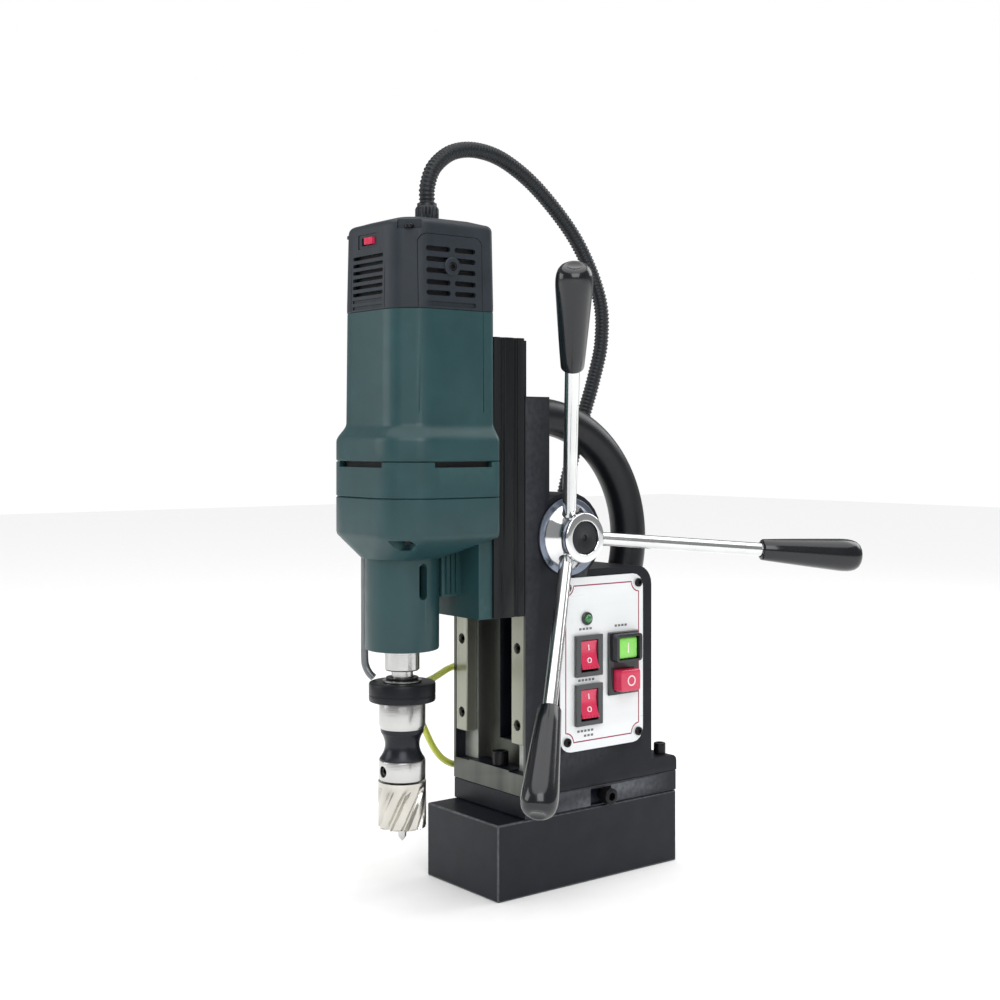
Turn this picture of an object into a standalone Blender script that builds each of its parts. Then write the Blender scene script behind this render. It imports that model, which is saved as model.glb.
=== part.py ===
"""Magnetic drill press: an electromagnet base, a column with its control box, and a motor slide
that a three-spoke feed handle drives through a rack and pinion.

Sizes are in millimetres and become metres in the meshes. +Z is up, the spindle is on the -Y side,
the control panel faces +X, and the origin is the centre of the magnet's bottom face.
"""
import bpy
import bmesh
from math import acos, asin, atan2, cos, degrees, pi, radians, sin, sqrt, tan
from mathutils import Matrix, Vector

MM = 0.001
GAP = 0.3                      # clearance between pieces that touch

# ---- driving dimensions ---------------------------------------------------------------------
MAGNET_X, MAGNET_Y, MAGNET_Z = 47.0, 95.0, 59.0       # half width, half length, height
PLATE_TOP = 76.0
CLAMP_Y, CLAMP_Z, CLAMP_SHANK = 14.0, 67.0, 28.0      # socket screw in the plate's right side
FLANGE_TOP = 89.0
COLUMN_FRONT = -68.0
COLUMN_TOP = 387.0
CHANNEL_X = 27.0
CHANNEL_BACK = -49.0
SLOT_X, SLOT_BACK = 9.6, -33.0      # the narrow slot behind the channel, for the rack
FOOT_TOP = 94.0
RAIL_SEAT = -58.0
RAIL_IN, RAIL_OUT = 29.0, 43.9
RAIL_LOW = 116.0
RAIL_SCREW_Z = (131.0, 191.0, 251.0, 311.0, 371.0)
BOX_BACK, BOX_TOP = 66.0, 250.0
SHAFT_Y, SHAFT_Z = -25.0, 277.0
BOSS_R = 35.0
SLIDE_X, SLIDE_FRONT, SLIDE_BACK = 46.5, -98.0, -68.6
SLIDE_LOW, SLIDE_HIGH = 217.0, 432.0
RACK_MODULE = 1.5
PINION_TEETH = 16
PINION_R = RACK_MODULE * PINION_TEETH / 2
SPINDLE_Y = -151.0
MOTOR_Y = -139.0
SNOUT_R = 28.25
SNOUT_LOW, SNOUT_TOP = 194.0, 264.0
GEAR_TOP, FAN_TOP = 310.0, 337.0
MOTOR_TOP, CAP_TOP = 450.0, 521.0
HUB_APEX_X = 48.0
SPOKE_CONE = 27.6              # degrees that the spokes lean out from the hub's plane
SPOKE_ANGLES = (115.0, -5.0, -125.0)
SPOKE_END = 245.0
GRIP_LENGTH = 85.0
PANEL_X = 48.5
CAVITY_LOW = 110.5              # the control box is hollow from here up, behind the panel
CAP_SLOT_Z = (463.0, 468.5, 474.0, 479.5, 485.0, 490.5)
HANDLE_Y, HANDLE_Z, HANDLE_R, HANDLE_TUBE = -20.0, 270.0, 103.0, 15.0
RING_LOW, RING_TOP, RING_R = 154.5, 169.0, 25.5

MATERIALS = {}


# ---- scene, materials and small tools -------------------------------------------------------
def clear_scene():
    for obj in list(bpy.data.objects):
        bpy.data.objects.remove(obj, do_unlink=True)


def material(name, colour, roughness, metallic=0.0):
    if name not in MATERIALS:
        mat = bpy.data.materials.new(name)
        mat.use_nodes = True
        shader = mat.node_tree.nodes["Principled BSDF"]
        shader.inputs["Base Color"].default_value = (*colour, 1.0)
        shader.inputs["Roughness"].default_value = roughness
        shader.inputs["Metallic"].default_value = metallic
        mat.diffuse_color = (*colour, 1.0)
        MATERIALS[name] = mat
    return MATERIALS[name]


def finish(name, bm, mat, smooth=True):
    """Turns a bmesh in millimetres into a named object."""
    bmesh.ops.recalc_face_normals(bm, faces=bm.faces)
    mesh = bpy.data.meshes.new(name)
    bmesh.ops.scale(bm, vec=(MM, MM, MM), verts=bm.verts)
    bm.to_mesh(mesh)
    bm.free()
    mesh.materials.append(mat)
    if smooth:
        mesh.shade_smooth()
        mesh.set_sharp_from_angle(angle=radians(32))
    obj = bpy.data.objects.new(name, mesh)
    bpy.context.scene.collection.objects.link(obj)
    return obj


def add_rings(bm, rings, loop=False):
    """Joins rings of equal point counts with quads; the ends are capped, or joined in a loop."""
    rows = [[bm.verts.new(p) for p in ring] for ring in rings]
    count = len(rows[0])
    pairs = list(zip(rows, rows[1:]))
    if loop:
        pairs.append((rows[-1], rows[0]))
    else:
        bm.faces.new(rows[0])
        bm.faces.new(rows[-1])
    for low, high in pairs:
        for i in range(count):
            j = (i + 1) % count
            bm.faces.new((low[i], low[j], high[j], high[i]))


def rings_solid(name, rings, mat, loop=False, smooth=True):
    bm = bmesh.new()
    add_rings(bm, rings, loop)
    return finish(name, bm, mat, smooth)


def axis_frame(axis):
    """Two directions square to an axis."""
    axis = Vector(axis).normalized()
    side = Vector((0, 0, 1)) if abs(axis.z) < 0.9 else Vector((1, 0, 0))
    first = side.cross(axis).normalized()
    return axis, first, axis.cross(first)


def turned_rings(profile, origin, axis, segments, twist=0.0):
    axis, first, second = axis_frame(axis)
    origin = Vector(origin)
    rings = []
    for radius, along in profile:
        ring = []
        for i in range(segments):
            t = 2 * pi * i / segments + twist
            ring.append(origin + axis * along + (first * cos(t) + second * sin(t)) * radius)
        rings.append(ring)
    return rings


def turned(name, profile, mat, origin=(0, 0, 0), axis=(0, 0, 1), segments=24, bored=False):
    """A turned piece: its profile is (radius, distance along the axis); bored closes the loop."""
    return rings_solid(name, turned_rings(profile, origin, axis, segments), mat, loop=bored)


def add_box(bm, low, high):
    ring = [(low[0], low[1]), (high[0], low[1]), (high[0], high[1]), (low[0], high[1])]
    add_rings(bm, [[(x, y, z) for x, y in ring] for z in (low[2], high[2])])


def box(name, low, high, mat, bevel=0.0):
    bm = bmesh.new()
    add_box(bm, low, high)
    if bevel:
        bmesh.ops.bevel(bm, geom=bm.edges[:], offset=bevel, segments=1, affect="EDGES")
    return finish(name, bm, mat)


def prism(name, outline, axis, low, high, mat):
    """An outline pushed along X, Y or Z; the outline holds the two other coordinates in order."""
    place = {"X": lambda a, b, c: (c, a, b), "Y": lambda a, b, c: (a, c, b),
             "Z": lambda a, b, c: (a, b, c)}[axis]
    return rings_solid(name, [[place(a, b, c) for a, b in outline] for c in (low, high)], mat)


def arc(cx, cy, radius, start, end, steps):
    """Points on an arc, angles in degrees."""
    angles = [radians(start + (end - start) * i / steps) for i in range(steps + 1)]
    return [(cx + radius * cos(t), cy + radius * sin(t)) for t in angles]


def rounded(x0, x1, y0, y1, radii, steps=4):
    """A rectangle with rounded corners: radii of the corners (x1,y1), (x0,y1), (x0,y0), (x1,y0)."""
    r1, r2, r3, r4 = radii if isinstance(radii, tuple) else (radii,) * 4
    return (arc(x1 - r1, y1 - r1, r1, 0, 90, steps) + arc(x0 + r2, y1 - r2, r2, 90, 180, steps)
            + arc(x0 + r3, y0 + r3, r3, 180, 270, steps) + arc(x1 - r4, y0 + r4, r4, 270, 360, steps))


def cut(target, *cutters, operation="DIFFERENCE"):
    """Cuts, or joins, with Boolean modifiers; the cutters are hidden guides."""
    for cutter in cutters:
        cutter.hide_render = True
        cutter.display_type = "WIRE"
        mod = target.modifiers.new("boolean", "BOOLEAN")
        mod.operation = operation
        mod.solver = "EXACT"
        mod.object = cutter
    return target


def group(name, builders, mat):
    """Several shapes in one object, as for a row of holes: each builder adds its own to the bmesh."""
    bm = bmesh.new()
    for add in builders:
        add(bm)
    return finish(name, bm, mat)


def joint_empty(name, position):
    empty = bpy.data.objects.new(name, None)
    bpy.context.scene.collection.objects.link(empty)
    empty.location = Vector(position) * MM
    empty.empty_display_size = 0.02
    return empty


def hang(empty, *pieces):
    """Parents pieces to a joint's empty without moving them."""
    for piece in pieces:
        piece.parent = empty
        piece.location = -empty.location


def cutter_material():
    return material("cutter", (0.8, 0.3, 0.1), 0.5)


# ---- magnet and base ------------------------------------------------------------------------
def magnet():
    black = material("black_paint", (0.012, 0.014, 0.02), 0.55)
    base = box("magnet_base", (-MAGNET_X, -MAGNET_Y, 0), (MAGNET_X, MAGNET_Y, MAGNET_Z), black, 1.0)
    groove_out, groove_in, groove_top = (37.0, 84.0), (20.0, 67.0), 46.0

    def frame_ring(name, out, inner, low, high, mat):
        rings = []
        for (hx, hy), z in ((out, low), (out, high), (inner, high), (inner, low)):
            rings.append([(x, y, z) for x, y in rounded(-hx, hx, -hy, hy, 6.0, 3)])
        return rings_solid(name, rings, mat, loop=True)

    groove = frame_ring("magnet_groove_cutter", groove_out, groove_in, -5.0, groove_top,
                        cutter_material())
    cut(base, groove)
    out = tuple(v - GAP for v in groove_out)
    inner = tuple(v + GAP for v in groove_in)
    frame_ring("magnet_coil", out, inner, 14.0, groove_top - GAP,
               material("copper", (0.55, 0.22, 0.08), 0.4, 1.0))
    frame_ring("magnet_seal", out, inner, GAP, 14.0 - GAP, material("resin", (0.03, 0.03, 0.035), 0.4))


def socket_screw(name, axis, seat, head_r, head_h, shank_r, shank_h, mat):
    """A cap screw, head outward along axis, with its hexagon socket."""
    socket_r = head_r * 0.55
    profile = [(shank_r, -shank_h), (shank_r, 0), (head_r, 0), (head_r, head_h - 0.6),
               (head_r - 0.6, head_h),
               (socket_r, head_h), (socket_r, head_h * 0.45)]
    return turned(name, profile, mat, seat, axis, 12)


def base():
    black = material("black_paint", (0.012, 0.014, 0.02), 0.55)
    screw_black = material("black_screw", (0.02, 0.02, 0.025), 0.35, 0.6)
    plate = box("base_plate", (-MAGNET_X, COLUMN_FRONT, MAGNET_Z + GAP),
                (MAGNET_X, MAGNET_Y, PLATE_TOP), black, 0.8)
    bolt_holes = group("bolt_hole_cutter", [
        lambda bm, x=x, y=y, r=r: add_rings(bm, turned_rings([(r, MAGNET_Z + 5), (r, FOOT_TOP + 10)],
                                                            (x, y, 0), (0, 0, 1), 12))
        for x, y, r in ((5, -60, 4.4), (-36, 86, 3.4), (36, 86, 3.4))], cutter_material())
    side_hole = turned("clamp_hole_cutter", [(4.3, MAGNET_X - CLAMP_SHANK - 1.0), (4.3, MAGNET_X + 13.0)],
                       cutter_material(), (0, CLAMP_Y, CLAMP_Z), (1, 0, 0), 12)
    side_pocket = box("clamp_pocket_cutter", (MAGNET_X - 4.0, -1, 60.5), (MAGNET_X + 4, 21, 73.5),
                      cutter_material())
    cut(plate, bolt_holes, side_hole, side_pocket)
    socket_screw("front_base_bolt", (0, 0, 1), (5, -60, FOOT_TOP + GAP), 6.5, 11.0, 4.0, 25.0, screw_black)
    for side, x in (("left", -36), ("right", 36)):
        socket_screw("rear_base_bolt_" + side, (0, 0, 1), (x, 86, FLANGE_TOP + GAP), 5.0, 9.0, 3.0, 20.0,
                     screw_black)
    socket_screw("clamp_screw", (1, 0, 0), (MAGNET_X + 0.5, CLAMP_Y, CLAMP_Z), 6.6, 8.5, 3.9, CLAMP_SHANK,
                 screw_black)
    return bolt_holes


# ---- column ---------------------------------------------------------------------------------
def column_outline():
    boss_low = asin((SHAFT_Z - BOX_TOP) / BOSS_R)
    post_back = -44.0
    boss_high = acos((post_back - SHAFT_Y) / BOSS_R)
    corner = 16.0
    points = [(COLUMN_FRONT, PLATE_TOP + GAP), (MAGNET_Y, PLATE_TOP + GAP)]
    points += arc(MAGNET_Y - 5.0, FLANGE_TOP - 5.0, 5.0, 0, 90, 4)
    points += [(BOX_BACK, FLANGE_TOP)]
    points += arc(BOX_BACK - corner, BOX_TOP - corner, corner, 0, 90, 6)
    points += arc(SHAFT_Y, SHAFT_Z, BOSS_R, -degrees(boss_low), degrees(boss_high), 14)
    points += [(post_back, COLUMN_TOP), (COLUMN_FRONT, COLUMN_TOP)]
    return points


def column(bolt_holes):
    black = material("black_paint", (0.012, 0.014, 0.02), 0.55)
    guide = cutter_material()
    housing = prism("column_housing", column_outline(), "X", -MAGNET_X, MAGNET_X, black)
    channel = box("channel_cutter", (-CHANNEL_X, COLUMN_FRONT - 5, FOOT_TOP),
                  (CHANNEL_X, CHANNEL_BACK, COLUMN_TOP + 5), guide)
    slot = box("rack_slot_cutter", (-SLOT_X, CHANNEL_BACK - 2, 112), (SLOT_X, SLOT_BACK, COLUMN_TOP + 5),
               guide)
    seats = group("rail_seat_cutter", [
        lambda bm, s=s: add_box(bm, (min(s * 26.0, s * 44.3), COLUMN_FRONT - 5, FLANGE_TOP + 4),
                                (max(s * 26.0, s * 44.3), RAIL_SEAT, COLUMN_TOP + 5))
        for s in (-1, 1)], guide)
    pinion_room = turned("pinion_room_cutter", [(15.5, -12), (15.5, 12)], guide,
                         (0, SHAFT_Y, SHAFT_Z), (1, 0, 0), 18)
    shaft_bore = turned("shaft_bore_cutter", [(12.0, -60), (12.0, 60)], guide,
                        (0, SHAFT_Y, SHAFT_Z), (1, 0, 0), 24)
    cavity = box("control_cavity_cutter", (-41, -21, CAVITY_LOW), (60, 46.2, 232), guide)
    feeds = group("cable_hole_cutter", [
        lambda bm: add_rings(bm, turned_rings([(4.5, 0), (4.5, 40)], (-27, 30, 220), (0, 0, 1), 12)),
        lambda bm: add_rings(bm, turned_rings([(4.5, 0), (4.5, 50)], (-20, 30, 118), (0, 1, 0), 12)),
        lambda bm: add_rings(bm,
                             turned_rings([(3.2, -60), (3.2, -35)], (0, -45, 232), (1, 0, 0), 12))], guide)
    panel_holes = group("panel_hole_cutter", [
        lambda bm, y=y, z=z: add_rings(bm, turned_rings([(1.8, 37), (1.8, 60)], (0, y, z), (1, 0, 0), 8))
        for y, z in PANEL_SCREWS], guide)
    cut(housing, channel, slot, seats, pinion_room, shaft_bore, cavity, feeds, panel_holes, bolt_holes)

    steel = material("rail_steel", (0.42, 0.43, 0.38), 0.38, 0.9)
    for side, s in (("left", -1), ("right", 1)):
        x = sorted((s * RAIL_IN, s * RAIL_OUT))
        rail = box("guide_rail_" + side, (x[0], COLUMN_FRONT, RAIL_LOW),
                   (x[1], RAIL_SEAT - GAP, COLUMN_TOP), steel, 0.5)
        holes = group("rail_counterbore_cutter_" + side, [
            lambda bm, z=z: add_rings(bm, turned_rings([(4.3, -75), (4.3, -63), (2.3, -63), (2.3, -50)],
                                                       (s * 36.4, 0, z), (0, 1,
                                                               0), 10)) for z in RAIL_SCREW_Z], guide)
        cut(rail, holes)


# ---- control panel --------------------------------------------------------------------------
PANEL_SCREWS = ((-27.5, 114.5), (-27.5, 236.5), (49.0, 114.5), (49.0, 236.5))
ROCKERS = (("upper", -6.0, 181.5), ("lower", -6.0, 142.5))
START_Y, START_Z, STOP_Z = 31.5, 185.0, 159.0


def control_panel():
    white = material("panel_white", (0.82, 0.83, 0.82), 0.35)
    black = material("switch_black", (0.02, 0.02, 0.022), 0.4)
    guide = cutter_material()
    plate = prism("control_panel", rounded(-34, 55, 106, 244, 11.0, 4), "X", MAGNET_X + GAP, PANEL_X, white)
    lamp_y, lamp_z = -7.0, 211.0
    holes = [lambda bm, y=y, z=z: add_box(bm, (44, y - 12.2, z - 14.7), (52, y + 12.2, z + 14.7))
             for _, y, z in ROCKERS]
    holes += [lambda bm: add_box(bm, (44, START_Y - 14.2, 149.5), (52, START_Y + 14.2, 195.5)),
              lambda bm: add_rings(bm, turned_rings([(4.0, 44), (4.0, 52)], (0, lamp_y, lamp_z),
                                                    (1, 0, 0), 14))]
    holes += [lambda bm, y=y, z=z: add_rings(bm, turned_rings([(2.0, 44), (2.0, 52)], (0, y, z),
                                                              (1, 0, 0), 8))
              for y, z in PANEL_SCREWS]
    cut(plate, group("panel_cutout_cutter", holes, guide))
    turned("pilot_lamp", [(3.6, 34), (3.6, PANEL_X + GAP), (5.2, PANEL_X + GAP), (5.2, PANEL_X + 2),
                          (4.2, PANEL_X + 2.6), (3.6, PANEL_X + 4), (1.6, PANEL_X + 5)],
           material("lamp_green", (0.02, 0.22, 0.05), 0.15), (0, lamp_y, lamp_z), (1, 0, 0), 16)

    for name, y, z in ROCKERS:
        frame = box("rocker_frame_" + name, (PANEL_X + GAP, y - 14, z - 16.5),
                    (PANEL_X + 3.6, y + 14, z + 16.5), material("bezel_grey", (0.16, 0.17, 0.18), 0.35))
        body = box("rocker_body_join_" + name, (30, y - 12, z - 14.5), (PANEL_X + 1, y + 12, z + 14.5),
                   guide)
        pocket = box("rocker_pocket_cutter_" + name, (38, y - 9, z - 12.4), (60, y + 9, z + 12.4), guide)
        cut(frame, body, operation="UNION")
        cut(frame, pocket)
        pivot = Vector((46.0, y, z))
        tilt = Matrix.Rotation(radians(-8), 3, "Y")
        outline = [(-4.5, -3.0), (-4.5, 3.0), (2.0, 11.3), (6.4, 11.3), (4.2, 0),
                   (6.4, -11.3), (2.0, -11.3)]
        rings = [[pivot + tilt @ Vector((a, dy, b)) for a, b in outline] for dy in (-8.6, 8.6)]
        rocker = rings_solid("rocker_" + name, rings, material("switch_red", (0.62, 0.03, 0.07), 0.25))
        hang(joint_empty("rocker_%s_axis" % name, pivot), rocker)

    frame = box("start_stop_frame", (PANEL_X + GAP, START_Y - 16.5, 147),
                (PANEL_X + 2.6, START_Y + 16.5, 198), black, 0.7)
    body = box("start_stop_join", (30, START_Y - 14, 149.7), (PANEL_X + 1, START_Y + 14, 195.3), guide)
    hood = prism("start_hood_join",
                 rounded(START_Y - 14, START_Y + 14, START_Z - 11, START_Z + 11.5, 3.0, 3), "X",
                 PANEL_X + 1, PANEL_X + 9.5, guide)
    pockets = group("start_stop_pocket_cutter", [
        lambda bm, z=z: add_box(bm, (36, START_Y - 11, z - 9.2), (70, START_Y + 11, z + 9.2))
        for z in (START_Z, STOP_Z)], guide)
    cut(frame, body, hood, operation="UNION")
    cut(frame, pockets)
    for name, z, reach, colour in (("start_button", START_Z, 7.5, (0.12, 0.62, 0.09)),
                                   ("stop_button", STOP_Z, 11.5, (0.62, 0.03, 0.07))):
        button = box(name, (40, START_Y - 10.5, z - 8.7), (PANEL_X + reach, START_Y + 10.5, z + 8.7),
                     material(name, colour, 0.3), 0.8)
        hang(joint_empty(name + "_axis", (PANEL_X, START_Y, z)), button)

    board = box("control_board", (-36, -18, CAVITY_LOW + 2), (-34, 40, 226),
                material("board_green", (0.02, 0.16, 0.07), 0.5))
    parts = group("board_parts_join", [
        lambda bm: add_box(bm, (-35, -10, 150), (-14, 8, 176)),
        lambda bm: add_box(bm, (-35, 14, 190), (-18, 34, 214)),
        lambda bm: add_rings(bm, turned_rings([(9, -35), (9, -4)], (0, 22, 130), (1, 0, 0), 12))], guide)
    cut(board, parts, operation="UNION")


# ---- feed: pinion shaft, hub, spokes and grips ----------------------------------------------
def involute(angle):
    return tan(angle) - angle


def gear_outline(teeth, module, addendum, dedendum, phase, backlash=0.3, steps=1):
    """An involute gear's outline as (x, y), with the middle of one tooth at the phase angle."""
    pitch_r = module * teeth / 2
    pressure = radians(20)
    base_r = pitch_r * cos(pressure)
    tip_r, root_r = pitch_r + addendum, pitch_r - dedendum
    half = pi / (2 * teeth) - backlash / (4 * pitch_r)
    start_r = max(base_r, root_r)
    flank = []
    for i in range(steps + 1):
        r = start_r + (tip_r - start_r) * i / steps
        turn = half + involute(pressure) - involute(acos(base_r / r))
        flank.append((r, turn))
    points = []
    for k in range(teeth):
        middle = phase + 2 * pi * k / teeth
        profile = [(r, -t) for r, t in flank] + [(r, t) for r, t in reversed(flank)]
        if start_r - root_r < 0.6:
            profile[0] = (root_r, profile[0][1])
            profile[-1] = (root_r, profile[-1][1])
        else:
            profile = [(root_r, -flank[0][1])] + profile + [(root_r, flank[0][1])]
        points += [(r * cos(middle + t), r * sin(middle + t)) for r, t in profile]
    return points


def feed():
    steel = material("steel", (0.55, 0.55, 0.56), 0.3, 1.0)
    chrome = material("chrome", (0.75, 0.76, 0.78), 0.08, 1.0)
    guide = cutter_material()
    centre = Vector((0, SHAFT_Y, SHAFT_Z))
    axis = joint_empty("feed_handle_axis", centre)

    shaft = turned("pinion_shaft", [(13.2, -57), (14.0, -56), (14.0, -47.4), (8.0, -47.4), (8.0, 61)],
                   steel,
                   centre, (1, 0, 0), 24)
    teeth = gear_outline(PINION_TEETH, RACK_MODULE, 1.2, 1.7, pi)
    gear = rings_solid("pinion_teeth_join",
                       [[(x, SHAFT_Y + a, SHAFT_Z + b) for a, b in teeth] for x in (-9, 9)], guide)
    cut(shaft, gear, operation="UNION")
    for side, low in (("left", -45.0), ("right", 15.0)):
        turned("pinion_bush_" + side, [(8.14, low), (8.14, low + 30), (11.6, low + 30), (11.6, low)],
               material("bronze", (0.5, 0.33, 0.14), 0.4, 1.0), centre, (1, 0, 0), 24, True)

    hub_profile = [(8.3, 47.6), (8.3, 62.0), (13.4, 62.0), (13.4, 68.0), (18.6, 68.0), (19.6, 67.0),
                   (19.6, 64.6), (19.1, 63.6), (20.3, 60.0), (22.4, 56.0), (24.8, 52.4), (26.4, 49.9),
                   (30.3, 49.7), (30.8, 49.2), (30.8, 48.0), (30.4, 47.6)]
    hub = turned("feed_hub", hub_profile, chrome, centre, (1, 0, 0), 28, True)
    apex = Vector((HUB_APEX_X, SHAFT_Y, SHAFT_Z))
    cone = radians(SPOKE_CONE)
    sockets = []
    pieces = [shaft, hub]
    for number, degree in enumerate(SPOKE_ANGLES, 1):
        t = radians(degree)
        way = Vector((sin(cone), cos(cone) * cos(t), cos(cone) * sin(t)))
        sockets.append(turned("spoke_socket_cutter_%d" % number, [(5.75, 17.0), (5.75, 60.0)], guide,
                              apex, way, 14))
        grip_start = SPOKE_END - GRIP_LENGTH
        rod = [(5.4, 17.4), (5.4, grip_start + 24.0), (4.4, grip_start + 25.0)]
        pieces.append(turned("feed_spoke_%d" % number, rod, chrome, apex, way, 14))
        grip = [(5.8, 26.0), (5.8, 0), (8.0, 0), (8.7, 1.2), (10.6, 28), (12.6, 58), (13.3, 70),
                (12.9, 77), (10.6, 82),
                (6.4, 84.4), (2.0, 85)]
        rings = [(r, grip_start + a) for r, a in grip]
        pieces.append(turned("feed_grip_%d" % number, rings,
                             material("grip_black", (0.008, 0.008, 0.01), 0.18),
                             apex, way, 18))
    cut(hub, *sockets)
    hang(axis, *pieces)


# ---- slide and rack -------------------------------------------------------------------------
def slide(axis):
    black = material("slide_black", (0.018, 0.018, 0.02), 0.45, 0.2)
    side = [(SLIDE_X, SLIDE_FRONT), (SLIDE_X, -92.0), (SLIDE_X - 1.6, -91.0), (SLIDE_X - 1.6, -88.5),
            (SLIDE_X, -87.5), (SLIDE_X, -79.0), (SLIDE_X - 1.6, -78.0), (SLIDE_X - 1.6, -75.5),
            (SLIDE_X, -74.5), (SLIDE_X, SLIDE_BACK), (CHANNEL_X - 1, SLIDE_BACK), (CHANNEL_X - 1, -50.0)]
    outline = side + [(-x, y) for x, y in reversed(side)]
    carriage = prism("carriage_slide", outline, "Z", SLIDE_LOW, SLIDE_HIGH, black)
    pitch = pi * RACK_MODULE
    pitch_y = SHAFT_Y - PINION_R
    tip, root, back = pitch_y + 1.2, pitch_y - 1.7, -50.0 + GAP
    half = pitch / 4 - 0.075
    lean = tan(radians(20))
    first, last = -5, 25
    outline = []
    for k in range(first, last):
        middle = SHAFT_Z + (k + 0.5) * pitch
        for y, s in ((root, -1), (tip, -1), (tip, 1), (root, 1)):
            outline.append((y, middle + s * (half - (y - pitch_y) * lean)))
    outline = [(back, SHAFT_Z + first * pitch)] + outline + [(back, SHAFT_Z + last * pitch)]
    rack = prism("feed_rack", outline, "X", -8, 8, material("steel", (0.55, 0.55, 0.56), 0.3, 1.0))
    hang(axis, carriage, rack)


# ---- motor and gear housings ----------------------------------------------------------------
def body_outline(half, front, back, corner, rear_corner=5.0, steps=4):
    return rounded(-half, half, front, back, (rear_corner, rear_corner, corner, corner), steps)


def loft(name, sections, mat, loop=False):
    return rings_solid(name, [[(x, y, z) for x, y in outline] for outline, z in sections], mat, loop)


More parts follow.
